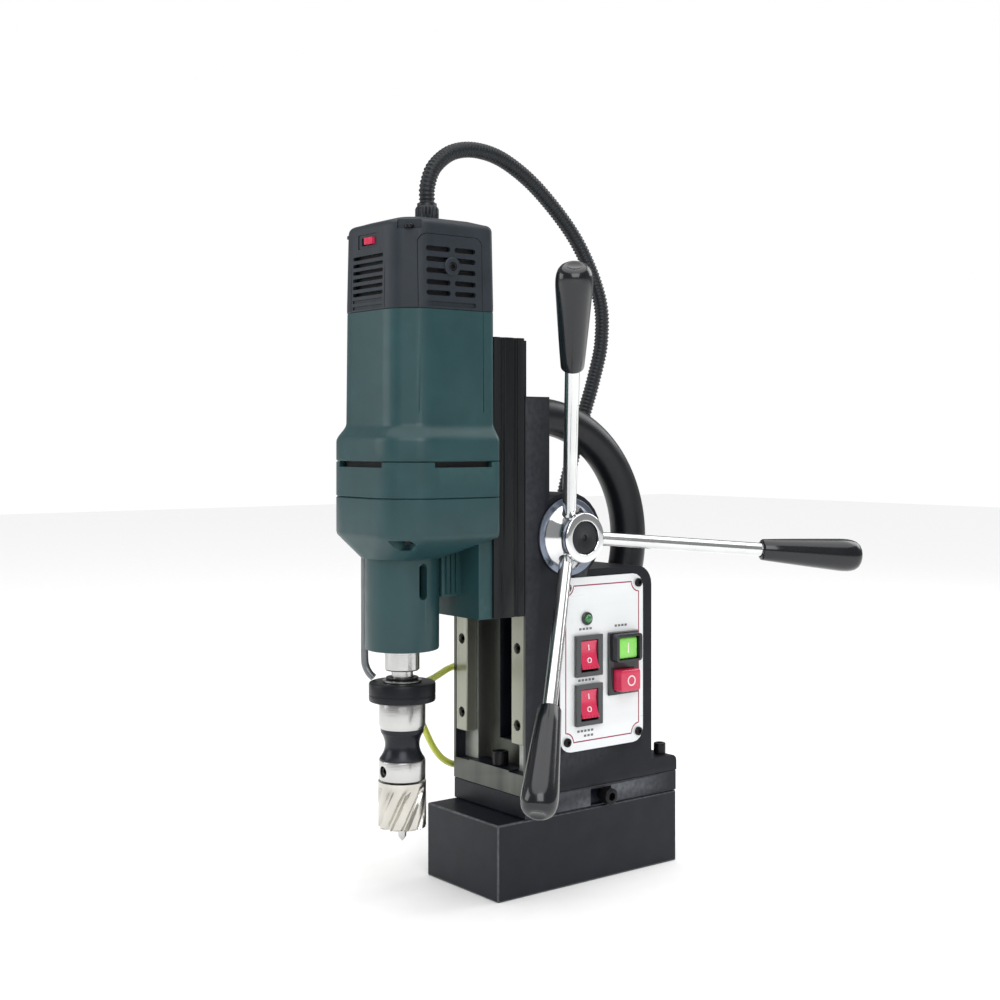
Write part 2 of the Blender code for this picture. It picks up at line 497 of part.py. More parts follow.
def motor(axis):
    green = material("motor_green", (0.022, 0.075, 0.08), 0.38)
    slate = material("cap_slate", (0.04, 0.05, 0.058), 0.5)
    guide = cutter_material()
    rear = SLIDE_FRONT - GAP
    wide = body_outline(56.5, -190.5, rear, 35)
    wide_in = body_outline(51.5, -185.5, rear - 5, 30, 3)
    slim = body_outline(49, -183, rear, 28)
    slim_top = body_outline(48.4, -182.4, rear, 28)
    slim_in = body_outline(45, -179, rear - 4, 24, 3)
    housing = loft("motor_housing", [(wide, FAN_TOP + GAP), (wide, 357), (slim, 366), (slim_top, MOTOR_TOP),
                                     (slim_in, MOTOR_TOP),
                                     (slim_in, 363), (wide_in, 355), (wide_in, FAN_TOP + GAP)], green, True)

    cap_side = body_outline(48.6, -182.6, rear, 28)
    cap_high = body_outline(47.6, -181.6, rear - 0.6, 27.5)
    cap_edge = body_outline(44.0, -178.0, rear - 4, 25)
    cap_flat = body_outline(24.0, -158.0, rear - 16, 12)
    cap_in = body_outline(45, -179, rear - 3.6, 24, 3)
    cap_crown = body_outline(36, -170, rear - 10, 18, 3)
    cap = loft("motor_cap", [(cap_side, MOTOR_TOP + GAP), (cap_high, 509), (cap_edge, 516.5),
                             (cap_flat, CAP_TOP)], slate)
    hollow = loft("cap_hollow_cutter", [(cap_in, MOTOR_TOP - 5), (cap_in, 506), (cap_crown, 513)], guide)
    slots = group("cap_slot_cutter", [
        lambda bm, z=z: add_box(bm, (-20.5, -190, z - 1.4), (20.5, -172, z + 1.4))
        for z in CAP_SLOT_Z], guide)
    vent = prism("vent_window_cutter", rounded(-161, -115, 457, 504, 7.0, 3), "X", 40, 60, guide)
    switch_pocket = box("switch_pocket_cutter", (-14, -190, 497.0), (12, -181.0, 508.0), guide)
    switch_hole = box("switch_hole_cutter", (-10, -190, 499.5), (8, -170, 505.5), guide)
    notch = turned("cap_notch_cutter", [(6.0, 508), (6.0, 530)], guide, (38, -171, 0), (0, 0, 1), 16)
    gland_hole = turned("cap_gland_cutter", [(4.5, 500), (4.5, 540)], guide, (0, -128, 0), (0, 0, 1), 16)
    cut(cap, hollow, slots, vent, switch_pocket, switch_hole, notch, gland_hole)

    cover = prism("vent_cover", rounded(-160.6, -115.4, 457.4, 503.6, 6.6, 3), "X", 45.6, 48.9, slate)
    vents = [lambda bm, z=z, y=y: add_box(bm, (44, y - 9.5, z - 1.8), (50, y + 9.5, z + 1.8))
             for z in (463.0, 471.0, 479.0, 487.0, 495.0) for y in (-149.0, -127.0)]
    cut(cover, group("vent_slot_cutter", vents, guide))

    switch = group("motor_switch", [
        lambda bm: add_box(bm, (-3.0, -183.6, 500.0), (7.4, -175.0, 505.0))],
        material("switch_red", (0.62, 0.03, 0.07), 0.25))
    hang(joint_empty("motor_switch_axis", (0, -180, 502.5)), switch)
    gland = turned("conduit_gland_motor", [(4.2, 514), (4.2, CAP_TOP + GAP), (8.4, CAP_TOP + GAP),
                                           (8.4, 524), (9.0, 525), (9.0, 532), (7.6, 534), (7.6, 536)],
                   slate, (0, -128, 0), (0, 0, 1), 18)

    fan_ring = loft("fan_ring", [(wide, GEAR_TOP + GAP), (wide, FAN_TOP), (wide_in, FAN_TOP), (wide_in,
            GEAR_TOP + GAP)],
                    green, True)
    floor = loft("fan_floor_join", [(body_outline(53, -187, rear - 3, 32, 3), GEAR_TOP + GAP),
                                    (body_outline(53, -187, rear - 3, 32, 3), 315)], guide)
    cut(fan_ring, floor, operation="UNION")
    bearing_hole = turned("fan_bearing_cutter", [(11.3, 300), (11.3, 320)], guide,
                          (0, MOTOR_Y, 0), (0, 0, 1), 24)
    windows = group("air_slot_cutter", [
        lambda bm: add_box(bm, (-28, -200, FAN_TOP - 4), (30, -170, FAN_TOP + 3)),
        lambda bm: add_box(bm, (40, -160, FAN_TOP - 4), (70, -108, FAN_TOP + 3)),
        lambda bm: add_box(bm, (-70, -160, FAN_TOP - 4), (-40, -108, FAN_TOP + 3))], guide)
    cut(fan_ring, bearing_hole, windows)

    throat = rounded(-31, 31, SPINDLE_Y - 31, SPINDLE_Y + 31, 30, 4)
    throat_in = rounded(-25, 25, SPINDLE_Y - 25, SPINDLE_Y + 25, 24, 4)
    low_in = body_outline(51.5, -185.5, rear - 5, 30, 3)
    gearcase = loft("gear_housing", [(wide, GEAR_TOP), (wide, 280), (throat, SNOUT_TOP), (throat_in,
            SNOUT_TOP), (throat_in, 270),
                                     (low_in, 284), (low_in, GEAR_TOP)], green, True)
    snout = turned("snout_join", [(SNOUT_R - 1.2, SNOUT_LOW), (SNOUT_R, SNOUT_LOW + 1.2), (SNOUT_R, 272),
                                  (20, 272), (20, SNOUT_LOW)],
                   guide, (0, SPINDLE_Y, 0), (0, 0, 1), 32, True)
    bracket = box("bracket_join", (-44, -111, SLIDE_LOW), (44, rear, 290), guide)
    web = box("web_join", (-21, SPINDLE_Y + 22, 234), (21, rear - 5, 276), guide)
    ribs = group("rib_join", [lambda bm, y=y: add_box(bm, (-22.5, y - 1.5, 236), (22.5, y + 1.5, 276))
                              for y in (-124.0, -119.5, -115.0)], guide)
    cut(gearcase, snout, bracket, web, ribs, operation="UNION")
    bore = turned("snout_bore_cutter", [(20.0, 150), (20.0, 276)], guide, (0, SPINDLE_Y, 0), (0, 0, 1), 32)
    drift = prism("drift_slot_cutter", rounded(-3.5, 3.5, -13.5, 13.5, 3.4, 3), "X", -40, 40, guide)
    drift.location = Vector((0, SPINDLE_Y, 247)) * MM
    screw_room = group("housing_screw_room_cutter", [
        lambda bm, s=s: add_box(bm, (min(s * 33, s * 46), -190, 272), (max(s * 33, s * 46), -169, 279.5))
        for s in (1, -1)], guide)
    cut(gearcase, bore, drift, screw_room)
    hang(axis, housing, cap, cover, gland, fan_ring, gearcase)



# ---- motor, gear train and spindle ----------------------------------------------------------
MOTOR_PINION = (10, 1.25)       # teeth, module
LAY_WHEEL = (27, 1.25)
LAY_PINION = (12, 1.5)
SPINDLE_WHEEL = (32, 1.5)


def lay_shaft_place():
    """The lay shaft sits at the two centre distances from the motor and spindle axes."""
    first = (MOTOR_PINION[0] + LAY_WHEEL[0]) * MOTOR_PINION[1] / 2
    second = (LAY_PINION[0] + SPINDLE_WHEEL[0]) * LAY_PINION[1] / 2
    y = (second ** 2 - first ** 2 - SPINDLE_Y ** 2 + MOTOR_Y ** 2) / (2 * (MOTOR_Y - SPINDLE_Y))
    return sqrt(first ** 2 - (y - MOTOR_Y) ** 2), y


def gear_solid(name, place, teeth, module, addendum, dedendum, phase, low, high, mat):
    outline = gear_outline(teeth, module, addendum, dedendum, phase)
    return rings_solid(name, [[(place[0] + x, place[1] + y, z) for x, y in outline] for z in (low, high)],
                       mat)


def drive(carriage_axis):
    steel = material("steel", (0.55, 0.55, 0.56), 0.3, 1.0)
    bearing_steel = material("bearing_steel", (0.5, 0.5, 0.5), 0.25, 1.0)
    lay = lay_shaft_place()
    to_lay = atan2(lay[1] - MOTOR_Y, lay[0])
    lay_to_spindle = atan2(SPINDLE_Y - lay[1], -lay[0])

    pinion = gear_solid("motor_pinion_join", (0, MOTOR_Y), *MOTOR_PINION, 1.25, 1.1, to_lay, 300.4, 309.0,
                        cutter_material())
    armature = turned("armature", [(4.5, 308.0), (4.5, 338), (9, 338), (9, 343), (31, 345), (31, 350), (9,
            352), (6, 354),
                                   (6, 376), (19, 378), (19, 430), (7, 434), (7, 444), (12, 445), (12,
                                           462), (5, 463), (5, 482)],
                      material("armature_copper", (0.4, 0.17, 0.07), 0.4, 0.8),
                      (0, MOTOR_Y, 0), (0, 0, 1), 18)
    cut(armature, pinion, operation="UNION")
    hang(joint_empty("armature_axis", (0, MOTOR_Y, 340)), armature)
    stator = turned("field_core", [(20, 380), (20, 428), (34, 428), (34, 380)],
                    material("field_iron", (0.12, 0.12, 0.13), 0.5, 0.5),
                    (0, MOTOR_Y, 0), (0, 0, 1), 20, True)
    lay_shaft = turned("lay_shaft", [(4, 285), (4, 309)], steel, (*lay, 0), (0, 0, 1), 12)
    wheel = gear_solid("lay_wheel_join", lay, *LAY_WHEEL, 0.81, 1.55,
                       to_lay + pi + pi / LAY_WHEEL[0], 300.4, 308.0,
                       cutter_material())
    small = gear_solid("lay_pinion_join", lay, *LAY_PINION, 1.5, 1.3, lay_to_spindle, 287.0, 298.0,
                       cutter_material())
    cut(lay_shaft, wheel, small, operation="UNION")
    hang(joint_empty("lay_shaft_axis", (*lay, 297)), lay_shaft)

    spindle = turned("spindle", [(9.0, 178.0), (8.0, 244.0), (8.0, 298.0), (10.5, 298.0), (10.5, 286.0),
                                 (13.35, 286.0),
                                 (13.35, 179.0), (12.6,
                                                  178.0)], steel, (0, SPINDLE_Y, 0), (0, 0, 1), 24, True)
    slot = prism("spindle_slot_cutter", rounded(-3.5, 3.5, -13.5, 13.5, 3.4, 3), "X", -20, 20,
                 cutter_material())
    slot.location = Vector((0, SPINDLE_Y, 247)) * MM
    cut(spindle, slot)
    phase = lay_to_spindle + pi + pi / SPINDLE_WHEEL[0]
    spindle_wheel = gear_solid("spindle_wheel", (0, SPINDLE_Y), *SPINDLE_WHEEL, 0.975, 1.8, phase,
                               288.0, 297.0, steel)
    wheel_bore = turned("wheel_bore_cutter", [(10.9, 280), (10.9, 300)], cutter_material(),
                        (0, SPINDLE_Y, 0), (0, 0, 1), 24)
    cut(spindle_wheel, wheel_bore)
    bearings = [turned("spindle_bearing_" + name, [(13.5, low), (13.5, high), (19.6, high), (19.6, low)],
                       bearing_steel,
                       (0, SPINDLE_Y, 0), (0, 0, 1), 24, True)
                for name, low, high in (("lower", 196.0, 210.0), ("upper", 262.0, 274.0))]
    hang(carriage_axis, stator, *bearings)
    return [spindle, spindle_wheel]


def cutter_rings():
    """The annular cutter's wall: helical flutes outside, plain bore inside, notched teeth below."""
    flutes, per_flute = 9, 4
    count = flutes * per_flute
    outer_r, inner_r, deep = 18.3, 14.6, 1.9
    low, high = 58.0, 93.8
    rings = []

    def ring(radius, z, twist, fluted, toothed):
        points = []
        for i in range(count):
            step = i % per_flute
            t = 2 * pi * i / count + twist
            r = radius - (deep if fluted and step == 3 else 0)
            drop = (0.0, 0.6, 1.4, 4.2)[step] if toothed else 0.0
            points.append((r * cos(t), SPINDLE_Y + r * sin(t), z + drop))
        return points
    levels = 5
    for i in range(levels):
        z = low + (high - 3.0 - low) * i / (levels - 1)
        rings.append(ring(outer_r, z, (z - low) * tan(radians(28)) / outer_r, True, i == 0))
    rings.append(ring(outer_r - 0.2, high - 2.0, (high - low) * tan(radians(28)) / outer_r, False, False))
    rings.append(ring(outer_r - 0.8, high, (high - low) * tan(radians(28)) / outer_r, False, False))
    rings += [ring(9.5, high, 0, False, False), ring(9.5, 118.6, 0, False, False),
              ring(8.8, 119.4, 0, False, False),
              ring(3.45, 119.4, 0, False, False), ring(3.45, 86.0, 0, False, False), ring(inner_r, 86.0, 0,
                      False, False),
              ring(inner_r, low, 0, False, True)]
    return rings


def tooling(spindle_pieces, carriage_axis):
    steel = material("steel", (0.55, 0.55, 0.56), 0.3, 1.0)
    black = material("blued_steel", (0.02, 0.022, 0.026), 0.3, 0.8)
    profile = [(9.8, 95.0), (9.8, 120.0), (4.7, 120.0), (4.7, 150.0), (1.5, 152.0), (1.5, 239.0),
               (7.6, 239.0), (8.6, 179.0),
               (8.3, 176.0), (8.3, 154.2), (17.2, 154.2), (17.8, 153.6), (17.8, 135.5), (16.6, 132.5)]
    profile += [(13.2 + 4.0 * sin(radians(a)) ** 2,
                 121.5 + 10.5 * sin(radians(a))) for a in (50, 20, -20, -50)]
    profile += [(17.4, 110.5), (17.8, 109.5), (17.8, 95.6), (17.2, 95.0)]
    arbor = turned("arbor", profile, steel, (0, SPINDLE_Y, 0), (0, 0, 1), 24, True)
    holes = []
    for number, way in enumerate((Vector((0, -1, 0)), Vector((-1, 0, 0))), 1):
        holes.append(turned("set_screw_cutter_%d" % number, [(4.3, 5.0), (4.3, 25.0)], cutter_material(),
                            (0, SPINDLE_Y, 102.3), way, 12))
    cut(arbor, *holes)
    annular = rings_solid("annular_cutter", cutter_rings(),
                          material("cutter_steel", (0.5, 0.49, 0.45), 0.3, 1.0), loop=True)
    hang(joint_empty("spindle_axis", (0, SPINDLE_Y, 180)), *spindle_pieces, arbor, annular)

    pin = turned("pilot_pin", [(0.4, 47.6), (3.0, 51.5), (3.1, 53), (3.1, 119.8), (4.2, 120.3), (4.2,
            123.5)], steel,
                 (0, SPINDLE_Y, 0), (0, 0, 1), 16)
    hang(joint_empty("pilot_pin_axis", (0, SPINDLE_Y, 48)), pin)
    turns, steps, wire, coil_r, low, high = 5, 9, 0.5, 3.4, 124.5, 148.5
    points = []
    for i in range(turns * steps + 1):
        t = 2 * pi * i / steps
        points.append(Vector((coil_r * cos(t), SPINDLE_Y + coil_r * sin(t),
                              low + (high - low) * i / (turns * steps))))
    spring = tube("pilot_spring", points, wire, 0, steel)
    hang(bpy.data.objects["spindle_axis"], spring)

    ring = turned("coolant_ring", [(9.2, RING_LOW), (9.2, RING_TOP), (RING_R - 0.8, RING_TOP), (RING_R,
            RING_TOP - 0.8),
                                   (RING_R, RING_LOW + 0.8), (RING_R - 0.8, RING_LOW)],
                  material("ring_black", (0.02, 0.02, 0.024), 0.4, 0.3), (0, SPINDLE_Y, 0),
                  (0, 0, 1), 30, True)
    way = Vector((-0.5, sqrt(0.75), 0))
    port = turned("barb_port_cutter", [(2.4, 12), (2.4, 40)], cutter_material(),
                  (0, SPINDLE_Y, 162), way, 12)
    cut(ring, port)
    barb = turned("hose_barb", [(2.1, 16), (2.1, RING_R + GAP), (4.2, RING_R + GAP), (4.2, RING_R + 4),
                                (2.4, RING_R + 5),
                                (2.4, RING_R + 9)], material("brass", (0.6, 0.42, 0.14), 0.3, 1.0), (0,
                                        SPINDLE_Y, 162), way, 16)
    rod_line = [Vector(p) for p in ((-28, -167, 263.4), (-28, -167, 240), (-28, -167, 210),
                                    (-28, -167, 186),
                                    (-27.2, -166.5, 179), (-24.5, -165, 173.6), (-21.5, -163.2,
                                            RING_TOP + 1.6))]
    rod = tube("anti_rotation_rod", smooth_route(rod_line, 2), 2.9, 2, black)
    hang(carriage_axis, ring, barb, rod)


# ---- tubes, hoses and their fittings --------------------------------------------------------
def smooth_route(points, per_span):
    """A Catmull-Rom curve through the points, as a list of points on it."""
    pts = [Vector(p) for p in points]
    pts = [2 * pts[0] - pts[1]] + pts + [2 * pts[-1] - pts[-2]]
    out = []
    for i in range(1, len(pts) - 2):
        a, b, c, d = pts[i - 1:i + 3]
        for k in range(per_span):
            t = k / per_span
            out.append(0.5 * ((2 * b) + (c - a) * t + (2 * a - 5 * b + 4 * c - d) * t * t
                              + (3 * b - a - 3 * c + d) * t ** 3))
    return out + [pts[-2]]


def tube(name, points, radius, resolution, mat):
    """A round bar or hose along a list of points, with filled ends."""
    data = bpy.data.curves.new(name, "CURVE")
    data.dimensions = "3D"
    spline = data.splines.new("POLY")
    spline.points.add(len(points) - 1)
    for point, place in zip(spline.points, points):
        point.co = (*(place * MM), 1.0)
    data.bevel_depth = radius * MM
    data.bevel_resolution = resolution
    data.use_fill_caps = True
    data.materials.append(mat)
    obj = bpy.data.objects.new(name, data)
    bpy.context.scene.collection.objects.link(obj)
    return obj


CONDUIT_ROUTE = ((0, -128, 536.4), (0, -127.5, 550), (-1, -120, 566), (-4, -100, 580), (-8, -72, 585),
                 (-14, -38, 580),
                 (-19, 2, 560), (-23, 45, 523), (-25, 72, 478), (-26.5, 76, 440), (-28, 68, 405),
                 (-29, 57, 373),
                 (-29, 45, 338), (-28, 35, 308), (-27, 30, 286), (-27, 30, 266.4))
HOSE_ROUTE = ((-57, -60.6, 232), (-58, -75, 231), (-56, -95, 225), (-52, -110, 208), (-48, -118, 185),
              (-46, -116, 160),
              (-45.5, -107, 138), (-47, -97, 118), (-52, -84, 100), (-57, -70, 88), (-62, -52, 81.5),
              (-66, -33, 86),
              (-67, -20, 106), (-66, -17, 132), (-63, -30, 154), (-56, -54, 165), (-48, -72, 165.5),
              (-38, -88, 164),
              (-28.5, -103, 162.5), (-17.6, -120.5, 162))
CONDUIT_R, HOSE_R = 6.4, 2.75


def lines():
    slate = material("cap_slate", (0.04, 0.05, 0.058), 0.5)
    brass = material("brass", (0.6, 0.42, 0.14), 0.3, 1.0)
    tube("conduit", smooth_route(CONDUIT_ROUTE, 2), CONDUIT_R, 2,
         material("conduit_black", (0.02, 0.022, 0.025), 0.5))
    tube("coolant_hose", smooth_route(HOSE_ROUTE, 2), HOSE_R, 2,
         material("hose_yellow", (0.6, 0.68, 0.06), 0.35))
    profile = [(4.2, -10), (4.2, GAP), (9.5, GAP), (9.5, 5), (8.6, 6), (8.6, 14), (7.6, 16)]
    turned("conduit_gland_box", profile, slate, (-27, 30, BOX_TOP), (0, 0, 1), 16)
    turned("mains_gland", profile, slate, (-20, BOX_BACK, 118), (0, 1, 0), 16)
    tap = turned("coolant_tap", [(2.9, 36), (2.9, 47.3), (7.5, 47.3), (7.5, 50), (5.5, 50.6), (5.5, 61),
                                 (4.6, 62)], brass,
                 (0, -45, 232), (-1, 0, 0), 18)
    spigot = turned("tap_spigot_join", [(3.8, 0), (3.8, 9), (2.6, 10), (2.6, 15)], cutter_material(),
                    (-57, -45, 232), (0, -1, 0), 14)
    cut(tap, spigot, operation="UNION")


def carry_handle():
    """A bent tube; it starts straight inside the column's post and ends in the box's rear wall."""
    rings = []
    for i in range(21):
        a = radians(100.0 - 140.0 * i / 20)
        out = Vector((0, cos(a), sin(a)))
        centre = Vector((0, HANDLE_Y, HANDLE_Z)) + out * HANDLE_R
        rings.append([centre + (Vector((1, 0, 0)) * cos(t) + out * sin(t)) * HANDLE_TUBE
                      for t in [2 * pi * k / 16 for k in range(16)]])
    rings.insert(0, [point + Vector((0, -26, -4)) for point in rings[0]])
    handle = rings_solid("carry_handle", rings, material("black_paint", (0.012, 0.014, 0.02), 0.55))
    guide = cutter_material()
    post = box("handle_post_cutter", (-30, -120, 300), (30, -44 + GAP, 450), guide)
    slot = box("handle_slot_cutter", (-SLOT_X - GAP, -60, 300), (SLOT_X + GAP, SLOT_BACK - 1, 450), guide)
    wall = box("handle_wall_cutter", (-30, -60, 100), (30, BOX_BACK + GAP, BOX_TOP + GAP), guide)
    cut(handle, post, slot, wall)


def main():
    clear_scene()
    magnet()
    column(base())
    control_panel()
    feed()
    carriage_axis = joint_empty("feed_slide_axis", (0, SLIDE_BACK, SLIDE_LOW))
    slide(carriage_axis)
    motor(carriage_axis)
    tooling(drive(carriage_axis), carriage_axis)
    lines()
    carry_handle()


main()
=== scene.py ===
"""Looks of the magnetic drill press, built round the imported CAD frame. Sizes are in millimetres."""
from math import cos, pi, radians, sin, sqrt

import bmesh
import bpy
from mathutils import Matrix, Vector


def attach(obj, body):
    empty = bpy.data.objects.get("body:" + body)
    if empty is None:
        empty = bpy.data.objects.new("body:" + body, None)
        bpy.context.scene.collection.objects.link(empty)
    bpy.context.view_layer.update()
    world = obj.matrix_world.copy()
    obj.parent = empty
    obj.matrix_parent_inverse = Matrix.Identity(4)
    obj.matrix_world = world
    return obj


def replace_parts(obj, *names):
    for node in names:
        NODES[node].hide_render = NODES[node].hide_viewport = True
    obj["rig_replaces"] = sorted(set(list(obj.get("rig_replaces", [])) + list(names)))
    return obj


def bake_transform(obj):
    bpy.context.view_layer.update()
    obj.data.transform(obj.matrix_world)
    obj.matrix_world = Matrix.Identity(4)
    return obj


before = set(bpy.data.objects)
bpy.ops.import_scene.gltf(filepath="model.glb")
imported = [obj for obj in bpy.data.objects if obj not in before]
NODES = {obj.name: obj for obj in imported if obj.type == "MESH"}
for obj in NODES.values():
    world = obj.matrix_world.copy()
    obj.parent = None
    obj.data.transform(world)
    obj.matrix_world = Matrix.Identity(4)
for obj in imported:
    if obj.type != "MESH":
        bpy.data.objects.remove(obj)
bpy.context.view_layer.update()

MM = 0.001

# ---- places from the CAD ---------------------------------------------------------------------
SHAFT = Vector((0, -25, 277))
SPINDLE_Y, MOTOR_REAR = -151.0, -98.3
SPOKE_ANGLES, SPOKE_CONE, SPOKE_END, GRIP_LENGTH = (115.0, -5.0, -125.0), 27.6, 245.0, 85.0
PANEL_X = 48.5
CLAMP_SEAT, CLAMP_Y = 47.5, 14.0
RAIL_SCREW_Z = (131.0, 191.0, 251.0, 311.0, 371.0)
PANEL_SCREWS = ((-27.5, 114.5), (-27.5, 236.5), (49.0, 114.5), (49.0, 236.5))
LAMP = (0, -7, 211)
CAP_SLOT_Z, BLIND_SLOT_Z = (463.0, 468.5, 474.0, 479.5, 485.0, 490.5), (457.7, 453.0)
VENT_ROW_Z, VENT_COLUMNS = (461.8, 469.6, 478.2, 486.6, 494.4), ((-151.0, 10.6), (-126.8, 9.6))
VENT_SCREW = (-138.6, 482.0)
SET_SCREW_Z, COOLANT_INLET_Z = 102.3, 162
HANDLE_Y, HANDLE_Z, HANDLE_REACH, HANDLE_R = -20, 270, 103, 15.0


# ---- camera, light and floor -----------------------------------------------------------------
def camera():
    data = bpy.data.cameras.new("camera")
    data.lens, data.sensor_width = 52.43, 36.0
    data.shift_y = -0.0596
    data.clip_start, data.clip_end = 0.05, 30.0
    obj = bpy.data.objects.new("camera", data)
    obj.location = (0.924, -0.774, 0.353)
    obj.rotation_euler = (radians(90), 0, radians(52.17))
    bpy.context.scene.collection.objects.link(obj)
    bpy.context.scene.camera = obj


def light(name, place, target, size, power, colour=(1, 1, 1)):
    data = bpy.data.lights.new(name, "AREA")
    data.shape, data.size, data.energy, data.color = "SQUARE", size, power, colour
    obj = bpy.data.objects.new(name, data)
    obj.location = place
    obj.rotation_euler = (Vector(target) - Vector(place)).to_track_quat("-Z", "Y").to_euler()
    bpy.context.scene.collection.objects.link(obj)


def studio():
    world = bpy.data.worlds.new("studio")
    world.use_nodes = True
    tree = world.node_tree
    seen = tree.nodes["Background"]
    seen.inputs["Color"].default_value = (1.0, 1.0, 1.0, 1.0)
    room = tree.nodes.new("ShaderNodeBackground")
    room.inputs["Strength"].default_value = 0.38
    path = tree.nodes.new("ShaderNodeLightPath")
    mix = tree.nodes.new("ShaderNodeMixShader")
    tree.links.new(path.outputs["Is Camera Ray"], mix.inputs["Fac"])
    tree.links.new(room.outputs["Background"], mix.inputs[1])
    tree.links.new(seen.outputs["Background"], mix.inputs[2])
    tree.links.new(mix.outputs["Shader"], tree.nodes["World Output"].inputs["Surface"])
    bpy.context.scene.world = world
    light("key", (1.7, -1.1, 1.5), (0, -0.05, 0.28), 1.5, 26)
    light("left", (-1.3, -1.9, 1.0), (0, -0.1, 0.3), 1.2, 12)
    light("back", (0.2, 1.7, 1.4), (0, 0, 0.3), 1.2, 14)
    sky = bpy.data.lights.new("sky", "SUN")
    sky.energy, sky.angle = 2.3, radians(80)
    overhead = bpy.data.objects.new("sky", sky)
    overhead.location = (0, 0, 3)
    bpy.context.scene.collection.objects.link(overhead)
    bpy.context.scene.view_settings.view_transform = "Standard"
    bm = bmesh.new()
    bmesh.ops.create_grid(bm, x_segments=2, y_segments=2, size=6.0)
    mesh = bpy.data.meshes.new("floor")
    bm.to_mesh(mesh)
    bm.free()
    floor = bpy.data.objects.new("floor", mesh)
    bpy.context.scene.collection.objects.link(floor)
    floor.data.materials.append(surface("floor_white", (0.9, 0.9, 0.9), 0.9, spread=0.01))


# ---- materials -------------------------------------------------------------------------------
FINISHES = {}


def surface(name, colour, rough, metal=0.0, spread=0.12, grain=900.0, bump=0.02, stretch=(1, 1, 1),
            worn=None, coat=0.0, rough_spread=0.08, fine=2500.0, gleam=0.5):
    """A finish with uneven colour, uneven gloss, a fine grain and, where stated, bright worn edges."""
    if name in FINISHES:
        return FINISHES[name]
    mat = bpy.data.materials.new(name)
    mat.use_nodes = True
    tree = mat.node_tree
    nodes, links = tree.nodes, tree.links
    shader = nodes["Principled BSDF"]
    shader.inputs["Metallic"].default_value = metal
    shader.inputs["Coat Weight"].default_value = coat
    shader.inputs["Coat Roughness"].default_value = 0.08
    shader.inputs["Specular IOR Level"].default_value = gleam
    place = nodes.new("ShaderNodeTexCoord")
    mapping = nodes.new("ShaderNodeMapping")
    mapping.inputs["Scale"].default_value = stretch
    links.new(place.outputs["Object"], mapping.inputs["Vector"])

    def noise(scale, detail):
        node = nodes.new("ShaderNodeTexNoise")
        node.inputs["Scale"].default_value = scale
        node.inputs["Detail"].default_value = detail
        links.new(mapping.outputs["Vector"], node.inputs["Vector"])
        return node.outputs["Fac"]

    def ramp(fac, low, high):
        node = nodes.new("ShaderNodeValToRGB")
        node.color_ramp.elements[0].position = 0.3
        node.color_ramp.elements[1].position = 0.7
        node.color_ramp.elements[0].color = (*low, 1)
        node.color_ramp.elements[1].color = (*high, 1)
        links.new(fac, node.inputs["Fac"])
        return node.outputs["Color"]
    low = tuple(c * (1 - spread) for c in colour)
    high = tuple(min(1.0, c * (1 + spread)) for c in colour)
    tone = ramp(noise(grain * 0.05, 4), low, high)
    if worn:
        geometry = nodes.new("ShaderNodeNewGeometry")
        edge = nodes.new("ShaderNodeValToRGB")
        edge.color_ramp.elements[0].position = 0.56
        edge.color_ramp.elements[1].position = 0.70
        links.new(geometry.outputs["Pointiness"], edge.inputs["Fac"])
        breakup = nodes.new("ShaderNodeMath")
        breakup.operation = "MULTIPLY"
        links.new(edge.outputs["Color"], breakup.inputs[0])
        links.new(noise(240, 3), breakup.inputs[1])
        mix = nodes.new("ShaderNodeMix")
        mix.data_type = "RGBA"
        links.new(breakup.outputs[0], mix.inputs["Factor"])
        links.new(tone, mix.inputs["A"])
        mix.inputs["B"].default_value = (*worn, 1)
        tone = mix.outputs["Result"]
    links.new(tone, shader.inputs["Base Color"])
    gloss = nodes.new("ShaderNodeMapRange")
    gloss.inputs["To Min"].default_value = max(0.02, rough - rough_spread)
    gloss.inputs["To Max"].default_value = min(1.0, rough + rough_spread)
    links.new(noise(grain * 0.12, 5), gloss.inputs["Value"])
    links.new(gloss.outputs["Result"], shader.inputs["Roughness"])
    if bump:
        relief = nodes.new("ShaderNodeBump")
        relief.inputs["Strength"].default_value = bump * 10
        relief.inputs["Distance"].default_value = 0.00012
        links.new(noise(fine, 2), relief.inputs["Height"])
        links.new(relief.outputs["Normal"], shader.inputs["Normal"])
    FINISHES[name] = mat
    return mat


